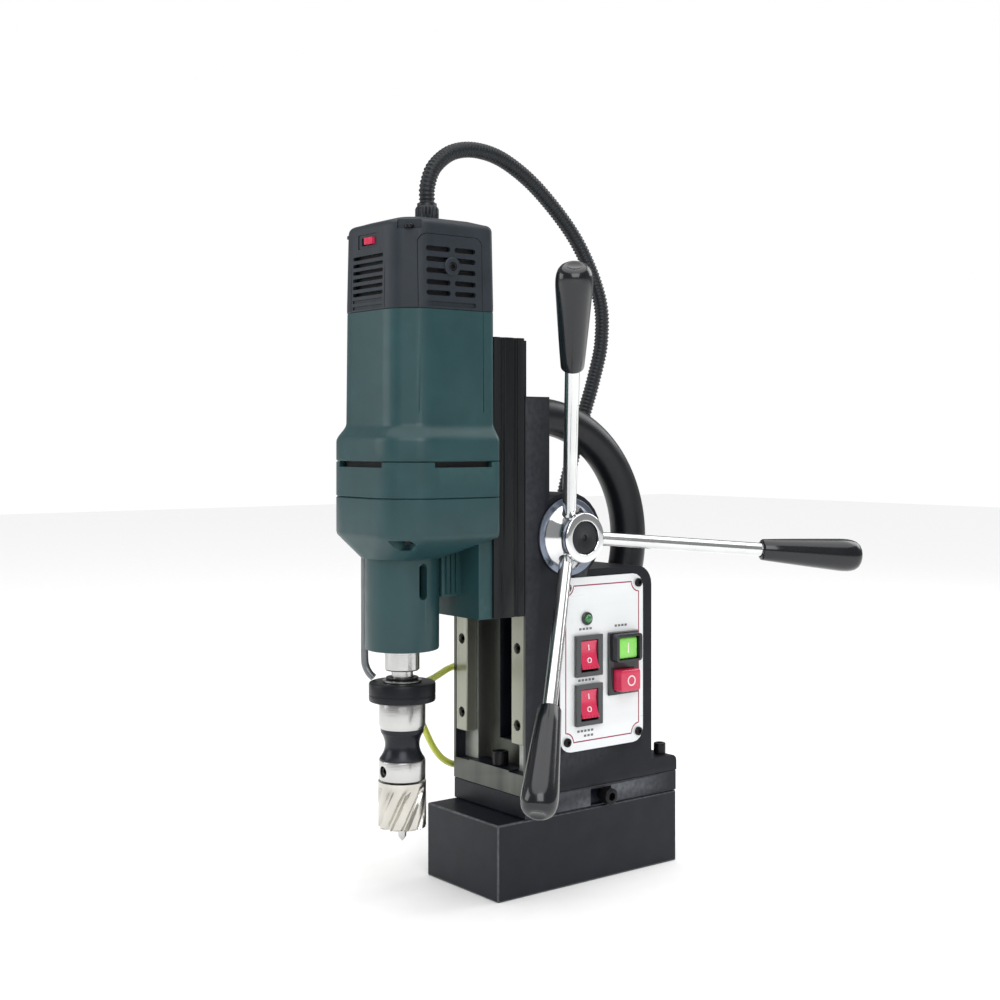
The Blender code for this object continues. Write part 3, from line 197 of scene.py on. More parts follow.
def finishes():
    edge = (0.16, 0.17, 0.19)
    surface("magnet_black", (0.006, 0.008, 0.013), 0.40, spread=0.3, worn=edge, bump=0.03, gleam=0.28)
    surface("column_black", (0.005, 0.006, 0.010), 0.45, spread=0.3, worn=edge, bump=0.05, fine=1500,
            gleam=0.25)
    surface("handle_black", (0.005, 0.006, 0.008), 0.33, bump=0.02, gleam=0.35)
    surface("slide_black", (0.005, 0.006, 0.007), 0.38, spread=0.3, worn=edge, stretch=(1, 1, 0.05),
            bump=0.03, gleam=0.25)
    surface("rail_steel", (0.33, 0.34, 0.28), 0.34, 0.75, spread=0.16, stretch=(1, 1, 0.04), bump=0.05,
            fine=1800)
    surface("foot_steel", (0.42, 0.44, 0.42), 0.4, 0.7, spread=0.2, stretch=(0.2, 1, 1), bump=0.05)
    surface("channel_steel", (0.10, 0.105, 0.095), 0.38, 0.75, spread=0.35, stretch=(1, 1, 0.03), bump=0.05)
    surface("motor_green", (0.014, 0.050, 0.055), 0.42, spread=0.10, bump=0.03, coat=0.08,
            worn=(0.04, 0.1, 0.1), gleam=0.35)
    surface("cap_slate", (0.014, 0.020, 0.027), 0.48, spread=0.14, bump=0.06, fine=2200, gleam=0.35)
    # Near-black finish for sheets set inside hollows: painted shade standing for the dark inside of the
    # motor and the gland.
    surface("painted_shade_black", (0.004, 0.004, 0.005), 0.7, bump=0.0)
    surface("chrome", (0.78, 0.79, 0.80), 0.10, 1.0, spread=0.03, rough_spread=0.04, bump=0.0)
    surface("turned_steel", (0.56, 0.56, 0.55), 0.24, 1.0, spread=0.10, stretch=(0.05, 0.05, 1), bump=0.05,
            fine=2600)
    surface("cutter_steel", (0.60, 0.58, 0.53), 0.24, 1.0, spread=0.12, bump=0.04)
    surface("waist_black", (0.012, 0.013, 0.018), 0.28, 0.5, spread=0.3, stretch=(0.05, 0.05, 1), bump=0.03)
    surface("ring_black", (0.007, 0.008, 0.011), 0.36, 0.2, spread=0.2, stretch=(0.05, 0.05, 1), bump=0.03,
            gleam=0.3)
    surface("grip_black", (0.004, 0.005, 0.007), 0.2, coat=0.25, bump=0.0, rough_spread=0.05, gleam=0.45)
    surface("screw_black", (0.012, 0.012, 0.014), 0.34, 0.7, spread=0.3, worn=edge)
    surface("panel_white", (0.80, 0.82, 0.83), 0.30, 0.15, spread=0.05, stretch=(1, 0.03, 1), bump=0.02)
    surface("border_red", (0.30, 0.012, 0.06), 0.4, spread=0.1)
    surface("mark_grey", (0.14, 0.14, 0.16), 0.5, spread=0.1)
    surface("bezel_grey", (0.028, 0.032, 0.035), 0.22, coat=0.4)
    surface("switch_black", (0.013, 0.014, 0.017), 0.32, coat=0.2)
    surface("switch_red", (0.62, 0.025, 0.085), 0.26, coat=0.4, spread=0.08)
    surface("mark_pale", (0.85, 0.70, 0.72), 0.4, spread=0.05)
    surface("button_green", (0.23, 0.66, 0.10), 0.26, coat=0.4, spread=0.08)
    surface("lamp_green", (0.02, 0.17, 0.04), 0.10, coat=0.8, spread=0.3)
    surface("conduit_black", (0.007, 0.010, 0.013), 0.42, spread=0.2, gleam=0.35)
    surface("gland_black", (0.010, 0.014, 0.018), 0.4, spread=0.15, gleam=0.35)
    # Bluish metal for the ring at the hub: a painted highlight, standing for the lit rim of the column's
    # black boss.
    surface("flange_blue_highlight", (0.20, 0.23, 0.29), 0.3, 0.9, spread=0.2, bump=0.03)
    surface("hub_dark", (0.035, 0.037, 0.04), 0.3, 0.7, spread=0.2, bump=0.04)
    surface("spoke_chrome", (0.72, 0.73, 0.73), 0.13, 1.0, spread=0.05, rough_spread=0.05,
            stretch=(1, 1, 1), bump=0.0)
    surface("hose_yellow", (0.66, 0.72, 0.10), 0.25, spread=0.08, coat=0.4)
    surface("brass", (0.62, 0.44, 0.18), 0.26, 1.0, spread=0.12)
    surface("bronze", (0.48, 0.31, 0.14), 0.4, 1.0)
    surface("copper", (0.55, 0.24, 0.11), 0.35, 0.9, stretch=(1, 1, 8))
    surface("board_green", (0.02, 0.13, 0.06), 0.4)
    surface("resin", (0.015, 0.015, 0.018), 0.35)
    surface("rod_grey", (0.2, 0.21, 0.22), 0.35, 0.8, spread=0.1)
    surface("field_iron", (0.09, 0.09, 0.10), 0.45, 0.6, stretch=(1, 1, 12))


def dress(obj, finish):
    """Gives a piece its finish."""
    obj.data.materials.clear()
    obj.data.materials.append(FINISHES[finish])


def mesh_object(name, bm):
    """Puts a bmesh in millimetres into the scene, as an object in metres."""
    bmesh.ops.recalc_face_normals(bm, faces=bm.faces)
    bmesh.ops.scale(bm, vec=(MM, MM, MM), verts=bm.verts)
    mesh = bpy.data.meshes.new(name)
    bm.to_mesh(mesh)
    bm.free()
    obj = bpy.data.objects.new(name, mesh)
    bpy.context.scene.collection.objects.link(obj)
    return obj


def publish(name, bm, finish, body, sharp=35, stands_for=()):
    """Makes a piece from a bmesh in millimetres: it rides on its body and may replace CAD nodes."""
    obj = mesh_object(name, bm)
    dress(obj, finish)
    obj.data.shade_smooth()
    obj.data.set_sharp_from_angle(angle=radians(sharp))
    if body:
        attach(obj, body)
    if stands_for:
        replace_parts(obj, *stands_for)
    return obj


def add_bevel(obj, width):
    mod = obj.modifiers.new("bevel", "BEVEL")
    mod.width, mod.segments, mod.limit_method = width * MM, 2, "ANGLE"
    mod.angle_limit = radians(38)
    mod.harden_normals = True
    mod.use_clamp_overlap = True


def add_rings(bm, rings, loop=False):
    rows = [[bm.verts.new(p) for p in ring] for ring in rings]
    count = len(rows[0])
    pairs = list(zip(rows, rows[1:]))
    if loop:
        pairs.append((rows[-1], rows[0]))
    else:
        bm.faces.new(rows[0])
        bm.faces.new(rows[-1])
    for low, high in pairs:
        for i in range(count):
            j = (i + 1) % count
            bm.faces.new((low[i], low[j], high[j], high[i]))


def axis_frame(axis):
    axis = Vector(axis).normalized()
    side = Vector((0, 0, 1)) if abs(axis.z) < 0.9 else Vector((1, 0, 0))
    first = side.cross(axis).normalized()
    return axis, first, axis.cross(first)


def turned_rings(profile, origin, axis, segments, radius_at=None):
    """Rings of a turned shape; radius_at(radius, angle, along) may shape them, as a knurl does."""
    axis, first, second = axis_frame(axis)
    origin = Vector(origin)
    rings = []
    for radius, along in profile:
        ring = []
        for i in range(segments):
            t = 2 * pi * i / segments
            r = radius_at(radius, t, along) if radius_at else radius
            ring.append(origin + axis * along + (first * cos(t) + second * sin(t)) * r)
        rings.append(ring)
    return rings


def turned(name, profile, finish, body, origin=(0, 0, 0), axis=(0, 0, 1), segments=64, bored=False,
           stands_for=(), radius_at=None):
    bm = bmesh.new()
    add_rings(bm, turned_rings(profile, origin, axis, segments, radius_at), bored)
    return publish(name, bm, finish, body, stands_for=stands_for)


def box_rings(low, high):
    ring = [(low[0], low[1]), (high[0], low[1]), (high[0], high[1]), (low[0], high[1])]
    return [[(x, y, z) for x, y in ring] for z in (low[2], high[2])]


def upright(sections):
    """Level rings from pairs of an outline and its height."""
    return [[(x, y, z) for x, y in shape] for shape, z in sections]


def arc(cx, cy, radius, start, end, steps):
    angles = [radians(start + (end - start) * i / steps) for i in range(steps + 1)]
    return [(cx + radius * cos(t), cy + radius * sin(t)) for t in angles]


def rounded(x0, x1, y0, y1, radii, steps=12):
    r1, r2, r3, r4 = radii if isinstance(radii, tuple) else (radii,) * 4
    return (arc(x1 - r1, y1 - r1, r1, 0, 90, steps) + arc(x0 + r2, y1 - r2, r2, 90, 180, steps)
            + arc(x0 + r3, y0 + r3, r3, 180, 270, steps) + arc(x1 - r4, y0 + r4, r4, 270, 360, steps))


def prism_rings(outline, axis, levels):
    place = {"X": lambda a, b, c: (c, a, b),
             "Y": lambda a, b, c: (a, c, b),
             "Z": lambda a, b, c: (a, b, c)}[axis]
    return [[place(a, b, c) for a, b in outline] for c in levels]


def guide(rings, loop=False):
    """A closed shape for a Boolean, taken away once it has been used."""
    bm = bmesh.new()
    add_rings(bm, rings, loop)
    return mesh_object("guide", bm)


def box_guide(low, high):
    return guide(box_rings(low, high))


def carve(obj, guides, operation="DIFFERENCE", bevel=0.0):
    """Applies Booleans, removes the guides and, where stated, bevels what is left."""
    for shape in guides:
        mod = obj.modifiers.new("boolean", "BOOLEAN")
        mod.operation, mod.solver, mod.object = operation, "EXACT", shape
    bpy.context.view_layer.update()
    result = bpy.data.meshes.new_from_object(obj.evaluated_get(bpy.context.evaluated_depsgraph_get()))
    obj.modifiers.clear()
    obj.data = result
    result.shade_smooth()
    result.set_sharp_from_angle(angle=radians(35))
    for shape in guides:
        bpy.data.objects.remove(shape)
    if bevel:
        add_bevel(obj, bevel)


def refine(node, finish, body, bevel):
    """A finer copy of a CAD node: welded, with flat faces joined, its edges rounded and shaded smooth."""
    bm = bmesh.new()
    bm.from_mesh(NODES[node].data)
    bmesh.ops.remove_doubles(bm, verts=bm.verts, dist=0.000002)
    bmesh.ops.dissolve_limit(bm, angle_limit=radians(0.6), verts=bm.verts, edges=bm.edges)
    bmesh.ops.recalc_face_normals(bm, faces=bm.faces)
    mesh = bpy.data.meshes.new(node + "_fine")
    bm.to_mesh(mesh)
    bm.free()
    mesh.shade_smooth()
    mesh.set_sharp_from_angle(angle=radians(32))
    obj = bpy.data.objects.new(node + "_fine", mesh)
    bpy.context.scene.collection.objects.link(obj)
    dress(obj, finish)
    add_bevel(obj, bevel)
    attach(obj, body)
    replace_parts(obj, node)
    return obj


def hex_radius(flat):
    """The reach of a hexagon of that half width at an angle."""
    return lambda t: flat / cos((t + pi / 6) % (pi / 3) - pi / 6)


def cap_screw(name, axis, seat, head_r, head_h, body, shank=0.0, stands_for=(), knurl=0.0):
    """A socket cap screw with a round-edged head, a hexagon socket and, where stated, a knurled side."""
    reach = hex_radius(head_r * 0.48)

    def shaped(radius, t, along):
        if radius < 0:
            return reach(t)
        if knurl and 0.15 * head_h < along < 0.85 * head_h and radius > head_r * 0.98:
            return radius + knurl * (abs(sin(t * 16)) - 0.5)
        return radius
    shank_end = [(head_r * 0.55, -shank)] if shank else []
    profile = shank_end + [
        (head_r * 0.55, 0), (head_r - 0.3, 0), (head_r, 0.3), (head_r, head_h * 0.2), (head_r, head_h * 0.5),
        (head_r, head_h * 0.8), (head_r, head_h - 0.7), (head_r - 0.25, head_h - 0.25),
        (head_r - 0.7, head_h), (-1, head_h), (-1, head_h * 0.4)]
    return turned(name, profile, "screw_black", body, seat, axis, 48, False, stands_for, shaped)


def smooth_route(points, per_span):
    pts = [Vector(p) for p in points]
    pts = [2 * pts[0] - pts[1]] + pts + [2 * pts[-1] - pts[-2]]
    out = []
    for i in range(1, len(pts) - 2):
        a, b, c, d = pts[i - 1:i + 3]
        for k in range(per_span):
            t = k / per_span
            out.append(0.5 * ((2 * b) + (c - a) * t + (2 * a - 5 * b + 4 * c - d) * t * t
                              + (3 * b - a - 3 * c + d) * t ** 3))
    return out + [pts[-2]]


def even_route(points, step):
    """The same route with its points an even distance apart."""
    out, left = [points[0]], step
    for a, b in zip(points, points[1:]):
        span = (b - a).length
        at = 0.0
        while span - at >= left:
            at += left
            out.append(a.lerp(b, at / span))
            left = step
        left -= span - at
    if (points[-1] - out[-1]).length < step * 0.5:
        out.pop()
    return out + [points[-1]]


def swept(name, points, radii, finish, sides):
    """A round tube along points, with a radius for each."""
    bm = bmesh.new()
    rings = []
    tangent = (points[1] - points[0]).normalized()
    _, first, _ = axis_frame(tangent)
    for i, point in enumerate(points):
        ahead = (points[min(i + 1, len(points) - 1)] - points[max(i - 1, 0)]).normalized()
        first = (first - ahead * first.dot(ahead)).normalized()
        second = ahead.cross(first)
        angles = [2 * pi * k / sides for k in range(sides)]
        rings.append([point + (first * cos(t) + second * sin(t)) * radii[i] for t in angles])
    add_rings(bm, rings)
    return publish(name, bm, finish, None, sharp=80)


# ---- cords -----------------------------------------------------------------------------------
CONDUIT_ROUTE = ((0, -128, 536.4), (0, -127.5, 550), (-1, -120, 566), (-4, -100, 580), (-8, -72, 585),
                 (-14, -38, 580), (-19, 2, 560), (-23, 45, 523), (-25, 72, 478), (-26.5, 76, 440),
                 (-28, 68, 405), (-29, 57, 373), (-29, 45, 338), (-28, 35, 308), (-27, 30, 286),
                 (-27, 30, 266.4))
HOSE_ROUTE = ((-57, -60.6, 232), (-58, -75, 231), (-56, -95, 225), (-52, -110, 208), (-48, -118, 185),
              (-46, -116, 160), (-45.5, -107, 138), (-47, -97, 118), (-52, -84, 100), (-57, -70, 88),
              (-62, -52, 81.5), (-66, -33, 86), (-67, -20, 106), (-66, -17, 132), (-63, -30, 154),
              (-56, -54, 165), (-48, -72, 165.5), (-38, -88, 164), (-28.5, -103, 162.5),
              (-17.6, -120.5, 162))
CONDUIT_R, HOSE_R = 6.4, 2.75


def cords():
    step, rib_pitch, rib = 0.8, 3.2, 0.55
    line = even_route(smooth_route(CONDUIT_ROUTE, 24), step)
    radii = [CONDUIT_R - rib + rib * cos(2 * pi * i * step / rib_pitch) for i in range(len(line))]
    conduit = swept("conduit_corrugated", line, radii, "conduit_black", 18)
    path = [p * MM for p in even_route(smooth_route(CONDUIT_ROUTE, 24), 8.0)]
    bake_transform(conduit)
    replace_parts(conduit, "conduit")
    line = even_route(smooth_route(HOSE_ROUTE, 24), 2.0)
    hose = swept("coolant_hose_tube", line, [HOSE_R] * len(line), "hose_yellow", 20)
    path = [p * MM for p in even_route(smooth_route(HOSE_ROUTE, 24), 6.0)]
    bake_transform(hose)
    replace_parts(hose, "coolant_hose")


# ---- pieces refined from the CAD -------------------------------------------------------------
REFINED = {
    "frame": (("magnet_base", "magnet_black", 1.2), ("base_plate", "magnet_black", 0.9),
              ("guide_rail_left", "rail_steel", 0.5), ("guide_rail_right", "rail_steel", 0.5),
              ("control_panel", "panel_white", 0.2), ("rocker_frame_upper", "bezel_grey", 0.6),
              ("rocker_frame_lower", "bezel_grey", 0.6), ("start_stop_frame", "switch_black", 0.6),
              ("coolant_tap", "brass", 0.3), ("pinion_bush_left", "bronze", 0.3),
              ("pinion_bush_right", "chrome", 0.3)),
    "carriage": (("carriage_slide", "slide_black", 0.5), ("feed_rack", "turned_steel", 0.2)),
}
PLAIN = {"magnet_coil": "copper", "magnet_seal": "resin", "control_board": "board_green",
         "field_core": "field_iron", "spindle_bearing_lower": "chrome", "spindle_bearing_upper": "chrome",
         "pinion_shaft": "turned_steel", "spindle_wheel": "turned_steel", "lay_shaft": "turned_steel",
         "armature": "copper", "pilot_spring": "turned_steel", "spindle": "turned_steel"}


def from_cad():
    for body, rows in REFINED.items():
        for node, finish, bevel in rows:
            refine(node, finish, body, bevel)
    for node, finish in PLAIN.items():
        mesh = NODES[node].data
        mesh.materials.clear()
        mesh.materials.append(FINISHES[finish])


# ---- motor -----------------------------------------------------------------------------------
FACET = (5, 10)                 # the steps of a front corner that its flat facet spans


def outline(half, front, back, corner):
    """A motor section: a rounded block whose front corners have a flat facet in their curve."""
    steps = 14
    points = rounded(-half, half, front, back, (5.0, 5.0, corner, corner), steps)
    count = steps + 1
    for start, (low, high) in ((2 * count, (steps - FACET[1], steps - FACET[0])), (3 * count, FACET)):
        a, b = points[start + low], points[start + high]
        for i in range(low + 1, high):
            t = (i - low) / (high - low)
            points[start + i] = (a[0] + (b[0] - a[0]) * t, a[1] + (b[1] - a[1]) * t)
    return points


def wide_outlines():
    """The lower motor's outside, its inside, and its outside where an edge is eased."""
    return (outline(56.5, -190.5, MOTOR_REAR, 35), outline(51.5, -185.5, MOTOR_REAR - 5, 30),
            outline(55.7, -189.7, MOTOR_REAR, 34))


def seam_guides(low, high):
    """Cutters for the narrow upright seams of the housing, at its facets and near its rear edges."""
    out = []
    for s in (-1, 1):
        out.append(box_guide((min(s * 48.0, s * 52), -110.4, low), (max(s * 48.0, s * 52), -109.8, high)))
        ring = [(s * (46.2 + a * 0.44 + b * 0.9), -167.3 + a * 0.9 - b * 0.44) for a, b in
                ((-0.3, 3), (0.3, 3), (0.3, -0.8), (-0.3, -0.8))]
        out.append(guide(upright([(ring, low), (ring, high)])))
    return out


def lofted(name, sections, finish, body, loop=False, stands_for=()):
    bm = bmesh.new()
    add_rings(bm, upright(sections), loop)
    return publish(name, bm, finish, body, stands_for=stands_for)


def eased(first, last, low, high, steps):
    """Sections between two outlines that leave each of them smoothly."""
    out = []
    for i in range(steps + 1):
        t = i / steps
        ease = t * t * (3 - 2 * t)
        shape = [(a[0] + (b[0] - a[0]) * ease, a[1] + (b[1] - a[1]) * ease) for a, b in zip(first, last)]
        out.append((shape, low + (high - low) * t))
    return out


def motor_housing():
    rear = MOTOR_REAR
    wide, wide_in, _ = wide_outlines()
    slim, slim_in = outline(49, -183, rear, 28), outline(45, -179, rear - 4, 24)
    slim_top = outline(48.4, -182.4, rear, 28)
    lip = outline(55.6, -189.6, rear, 34)
    sections = [(lip, 337.3), (wide, 338.2)] + eased(wide, slim, 352, 366, 8) + [
        (slim_top, 450), (slim_in, 450), (slim_in, 363), (wide_in, 352), (wide_in, 337.3)]
    shell = lofted("motor_housing_fine", sections, "motor_green", "carriage", True, ("motor_housing",))
    carve(shell, seam_guides(374, 451), bevel=0.3)


def motor_cap():
    rear = MOTOR_REAR
    side, low = outline(48.6, -182.6, rear, 28), outline(48.0, -182.0, rear, 27.5)
    high = outline(47.6, -181.6, rear - 0.6, 27.5)
    sections = [(low, 450.3), (side, 451.0), (side, 455), (high, 511)]
    for degrees in range(15, 91, 15):
        t = radians(degrees)
        inset = 3.6 * (1 - cos(t))
        shoulder = outline(47.6 - inset, -181.6 + inset, rear - 0.6 - inset, 27.5 - inset * 0.7)
        sections.append((shoulder, 511 + 5.0 * sin(t)))
    sections += [(outline(34, -168, rear - 12, 16), 519.2), (outline(24, -158, rear - 16, 12), 521)]
    cap = lofted("motor_cap_fine", sections, "cap_slate", "carriage", False, ("motor_cap",))
    inside = outline(45, -179, rear - 3.6, 24)
    hollow = guide(upright([(inside, 445), (inside, 506), (outline(36, -170, rear - 10, 18), 513)]))
    slots = [guide(prism_rings(rounded(-20.5, 20.5, z - 1.4, z + 1.4, 1.2, 4), "Y", (-190, -172)))
             for z in CAP_SLOT_Z]
    slots += [guide(prism_rings(rounded(-20.5, 20.5, z - 1.2, z + 1.2, 1.0, 4), "Y", (-190, -181.6)))
              for z in BLIND_SLOT_Z]
    pocket = [guide(prism_rings(rounded(-14, 12, 497.0, 508.0, 1.2, 4), "Y", (-190, -181.0))),
              box_guide((-10, -190, 499.5), (8, -170, 505.5))]
    notch = []
    for s in (-1, 1):
        ring = [(s * (42.5 + a * 0.71 + b * 0.71), -174.5 + a * 0.71 - b * 0.71)
                for a, b in ((-9, 9), (9, 9), (9, -7), (-9, -7))]
        notch.append(guide(upright([(ring, 508.6), (ring, 530)])))
    gland = guide(turned_rings([(4.5, 500), (4.5, 540)], (0, -128, 0), (0, 0, 1), 32))
    grooves = [box_guide((s * 22.9 - 0.3, -190, 451), (s * 22.9 + 0.3, -181.9, 506)) for s in (-1, 1)]
    carve(cap, [hollow, *slots, *pocket, *notch, gland, *grooves])
    vent_cover(cap)
    add_bevel(cap, 0.45)
    for number, s in enumerate((1, -1), 1):
        cap_screw("cap_corner_screw_%d" % number, (0, 0, 1), (s * 39.5, -171.5, 508.8), 3.6, 2.8,
                  "carriage")
    # A near-black shell inside the cap, seen through its slots: painted shade for the dark inside of the
    # motor.
    rear_inside = outline(43.6, -177.6, rear - 6, 23)
    lofted("cap_chamber_shade", [(rear_inside, 454), (rear_inside, 455), (rear_inside, 498)], "painted_shade_black",
           "carriage")


def vent_cover(cap):
    """The side panel with its vents: the part of the cap inside a rounded outline, parted by a thin gap."""
    def shape(grow):
        return rounded(-167.2 - grow, -111.2 + grow, 440, 505 + grow, (7.0, 7.0, 0.5, 0.5))
    panel = cap.copy()
    panel.data = cap.data.copy()
    panel.name = "vent_cover_fine"
    bpy.context.scene.collection.objects.link(panel)
    del panel["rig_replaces"]
    carve(panel, [guide(prism_rings(shape(0), "X", (30, 60)))], "INTERSECT")
    rows = [guide(prism_rings(rounded(y - half, y + half, z - 1.9, z + 1.9, 1.7, 5), "X", (30, 60)))
            for z in VENT_ROW_Z for y, half in VENT_COLUMNS]
    rows.append(guide(prism_rings(rounded(-161.6, -117.2, 452.2, 455.6, 1.5, 5), "X", (47.6, 60))))
    carve(panel, rows, bevel=0.4)
    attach(panel, "carriage")
    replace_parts(panel, "vent_cover")
    carve(cap, [guide(prism_rings(shape(0.35), "X", (30, 60)))])
    turned("vent_boss", [(7.0, 44.0), (7.0, 48.5), (6.4, 49.1), (3.4, 49.1), (3.4, 48.0), (0.4, 48.0)],
           "cap_slate", "carriage", (0, *VENT_SCREW), (1, 0, 0), 48)
    cap_screw("vent_screw", (1, 0, 0), (47.6, *VENT_SCREW), 3.1, 1.6, "carriage")


def motor_switch():
    bm = bmesh.new()
    add_rings(bm, box_rings((-3.0, -183.6, 500.0), (7.4, -175.0, 505.0)))
    slider = publish("motor_switch_slider", bm, "switch_red", "motor_switch", stands_for=("motor_switch",))
    ridges = [box_guide((x - 0.35, -184, 498), (x + 0.35, -183.1, 507))
              for x in (-1.4, 0.2, 1.8, 3.4, 5.0, 6.2)]
    carve(slider, ridges, bevel=0.12)


def fan_ring():
    wide, inner, lip = wide_outlines()
    sections = [(lip, 310.3), (wide, 311.0), (wide, 336.4), (lip, 337.0), (inner, 337.0), (inner, 310.3)]
    ring = lofted("fan_ring_fine", sections, "motor_green", "carriage", True, ("fan_ring",))
    windows = [box_guide((-28, -200, 333), (30, -170, 340)), box_guide((40, -160, 333), (70, -108, 340)),
               box_guide((-70, -160, 333), (-40, -108, 340))]
    carve(ring, windows, bevel=0.3)
    # A near-black shell inside the fan ring, seen through its windows: painted shade for the dark inside.
    dark = outline(51, -185, MOTOR_REAR - 5.5, 29)
    lofted("fan_chamber_shade", [(dark, 315.2), (dark, 316), (dark, 354)], "painted_shade_black", "carriage")


def gear_housing():
    rear = MOTOR_REAR
    wide, inner, lip = wide_outlines()
    throat = rounded(-31, 31, SPINDLE_Y - 31, SPINDLE_Y + 31, 30, 14)
    throat_in = rounded(-25, 25, SPINDLE_Y - 25, SPINDLE_Y + 25, 24, 14)
    low = outline(54.8, -188.8, rear, 34)
    sections = [(lip, 310), (wide, 309.3), (wide, 283.5), (outline(56, -190, rear, 34.6), 281.3),
                (low, 279.6), (throat, 264), (throat_in, 264), (throat_in, 270), (inner, 284), (inner, 310)]
    case = lofted("gear_housing_fine", sections, "motor_green", "carriage", True, ("gear_housing",))
    snout = guide(turned_rings([(26.6, 194), (27.7, 194.5), (28.25, 195.6), (28.25, 272), (20, 272),
                                (20, 194)], (0, SPINDLE_Y, 0), (0, 0, 1), 96), True)
    ribs = [box_guide((-22.5, y - 1.5, 236), (22.5, y + 1.5, 276)) for y in (-124.0, -119.5, -115.0)]
    carve(case, [snout, box_guide((-44, -111, 217), (44, rear, 290)),
                 box_guide((-21, SPINDLE_Y + 22, 234), (21, rear - 5, 276))] + ribs, "UNION")
    bore = guide(turned_rings([(20.0, 150), (20.0, 276)], (0, SPINDLE_Y, 0), (0, 0, 1), 64))
    drift_slot = [(a + SPINDLE_Y, b + 247) for a, b in rounded(-3.5, 3.5, -13.5, 13.5, 3.4, 8)]
    drift = guide(prism_rings(drift_slot, "X", (-40, 40)))
    rooms = [box_guide((min(s * 33, s * 46), -190, 272), (max(s * 33, s * 46), -169, 279.5))
             for s in (1, -1)]
    carve(case, [bore, drift] + rooms, bevel=0.7)
    for number, x in enumerate((39, -39), 1):
        cap_screw("housing_screw_%d" % number, (0, 0, -1), (x, -171.8, 279.9), 3.4, 3.2, "carriage")
    cap_screw("bracket_screw", (1, 0, 0), (44.0, -104.5, 281), 3.3, 2.6, "carriage")


def motor():
    motor_housing()
    motor_cap()
    motor_switch()
    fan_ring()
    gear_housing()


# ---- feed handle -----------------------------------------------------------------------------
def feed_handle():
    sockets = []
    apex = Vector((48, SHAFT.y, SHAFT.z))
    cone = radians(SPOKE_CONE)
    start = SPOKE_END - GRIP_LENGTH
    for number, degree in enumerate(SPOKE_ANGLES, 1):
        t = radians(degree)
        way = Vector((sin(cone), cos(cone) * cos(t), cos(cone) * sin(t)))
        sockets.append(guide(turned_rings([(5.75, 17.0), (5.75, 60.0)], apex, way, 48)))
        turned("spoke_%d" % number, [(5.4, 17.4), (5.4, start + 24.0), (4.4, start + 25.0)], "spoke_chrome",
               "feed_handle", apex, way, 48, stands_for=("feed_spoke_%d" % number,))
        grip = [(5.8, 26.0), (5.8, 0), (7.4, 0), (8.2, 0.5), (8.6, 1.4), (9.6, 14), (10.6, 28), (11.7, 44),
                (12.6, 58), (13.15, 66), (13.3, 70), (13.2, 74), (12.7, 77.6), (11.7, 80.6), (10.2, 82.7),
                (8.2, 84.1), (6.0, 84.8), (5.2, 84.6), (4.6, 84.2), (0.6, 84.0)]
        turned("grip_%d" % number, [(r, start + a) for r, a in grip], "grip_black", "feed_handle", apex,
               way, 56, stands_for=("feed_grip_%d" % number,))
    profile = [(8.3, 47.6), (8.3, 62.0), (13.3, 62.0), (13.3, 68.2), (13.7, 68.5), (18.2, 68.5),
               (19.0, 68.2), (19.5, 67.5), (19.6, 66.8), (19.6, 64.6), (19.2, 63.9), (19.2, 63.2),
               (19.7, 61.6), (20.5, 59.7), (21.5, 57.7), (22.6, 55.7), (23.8, 53.8), (25.0, 52.2),
               (26.0, 50.8), (26.3, 50.0)]
    hub = turned("hub_chrome", profile + [(26.3, 47.6)], "chrome", "feed_handle", SHAFT, (1, 0, 0), 128,
                 True, stands_for=("feed_hub",))
    carve(hub, sockets, bevel=0.4)
    # A ring at the boss face, in bluish metal: a painted highlight standing for the lit rim of the column's
    # black boss.
    turned("hub_flange_highlight", [(26.4, 47.6), (26.4, 49.9), (30.0, 49.7), (30.6, 49.4), (30.8, 48.9),
                          (30.8, 48.1), (30.4, 47.6)], "flange_blue_highlight", "feed_handle", SHAFT, (1, 0, 0), 128,
           True)
    turned("hub_centre", [(13.1, 62.3), (13.1, 66.4), (12.5, 67.0), (4.0, 67.2), (2.6, 66.7), (2.2, 65.6),
                          (0.3, 65.4)], "hub_dark", "feed_handle", SHAFT, (1, 0, 0), 64)


# ---- spindle, arbor, cutter and coolant ring -------------------------------------------------
def lathe(name, profile, finish, body, segments=96, bored=True, stands_for=()):
    """A turned piece on the spindle's axis."""
    return turned(name, profile, finish, body, (0, SPINDLE_Y, 0), (0, 0, 1), segments, bored, stands_for)


def arbor():
    lathe("arbor_upper", [(4.7, 134.0), (4.7, 150.0), (1.5, 152.0), (1.5, 239.0), (7.6, 239.0),
                          (8.6, 179.0), (8.3, 176.0), (8.3, 154.2), (16.8, 154.2), (17.5, 153.9),
                          (17.8, 153.2), (17.8, 136.6), (17.4, 135.4), (16.9, 134.0)], "turned_steel",
          "spindle", stands_for=("arbor",))
    waist = [(9.8, 110.2), (9.8, 120.0), (4.7, 120.0), (4.7, 134.0), (16.9, 134.0), (16.5, 132.4)]
    waist += [(13.2 + 4.0 * sin(radians(a)) ** 2, 121.5 + 10.5 * sin(radians(a)))
              for a in range(65, -66, -10)]
    waist += [(17.2, 111.0), (17.2, 110.2)]
    lathe("arbor_waist", waist, "waist_black", "spindle")
    collar = lathe("arbor_collar", [(9.8, 95.0), (9.8, 110.2), (17.0, 110.2), (17.6, 109.9), (17.8, 109.2),
                                    (17.8, 96.0), (17.6, 95.3), (17.1, 95.0)], "turned_steel", "spindle")
    ways = (Vector((0, -1, 0)), Vector((-1, 0, 0)))
    carve(collar, [guide(turned_rings([(4.3, 11.0), (4.3, 25.0)], (0, SPINDLE_Y, SET_SCREW_Z), way, 48))
                   for way in ways], bevel=0.35)
    for number, way in enumerate(ways, 1):
        cap_screw("set_screw_%d" % number, way, Vector((0, SPINDLE_Y, SET_SCREW_Z)) + way * 11.2, 4.0, 4.6,
                  "spindle")


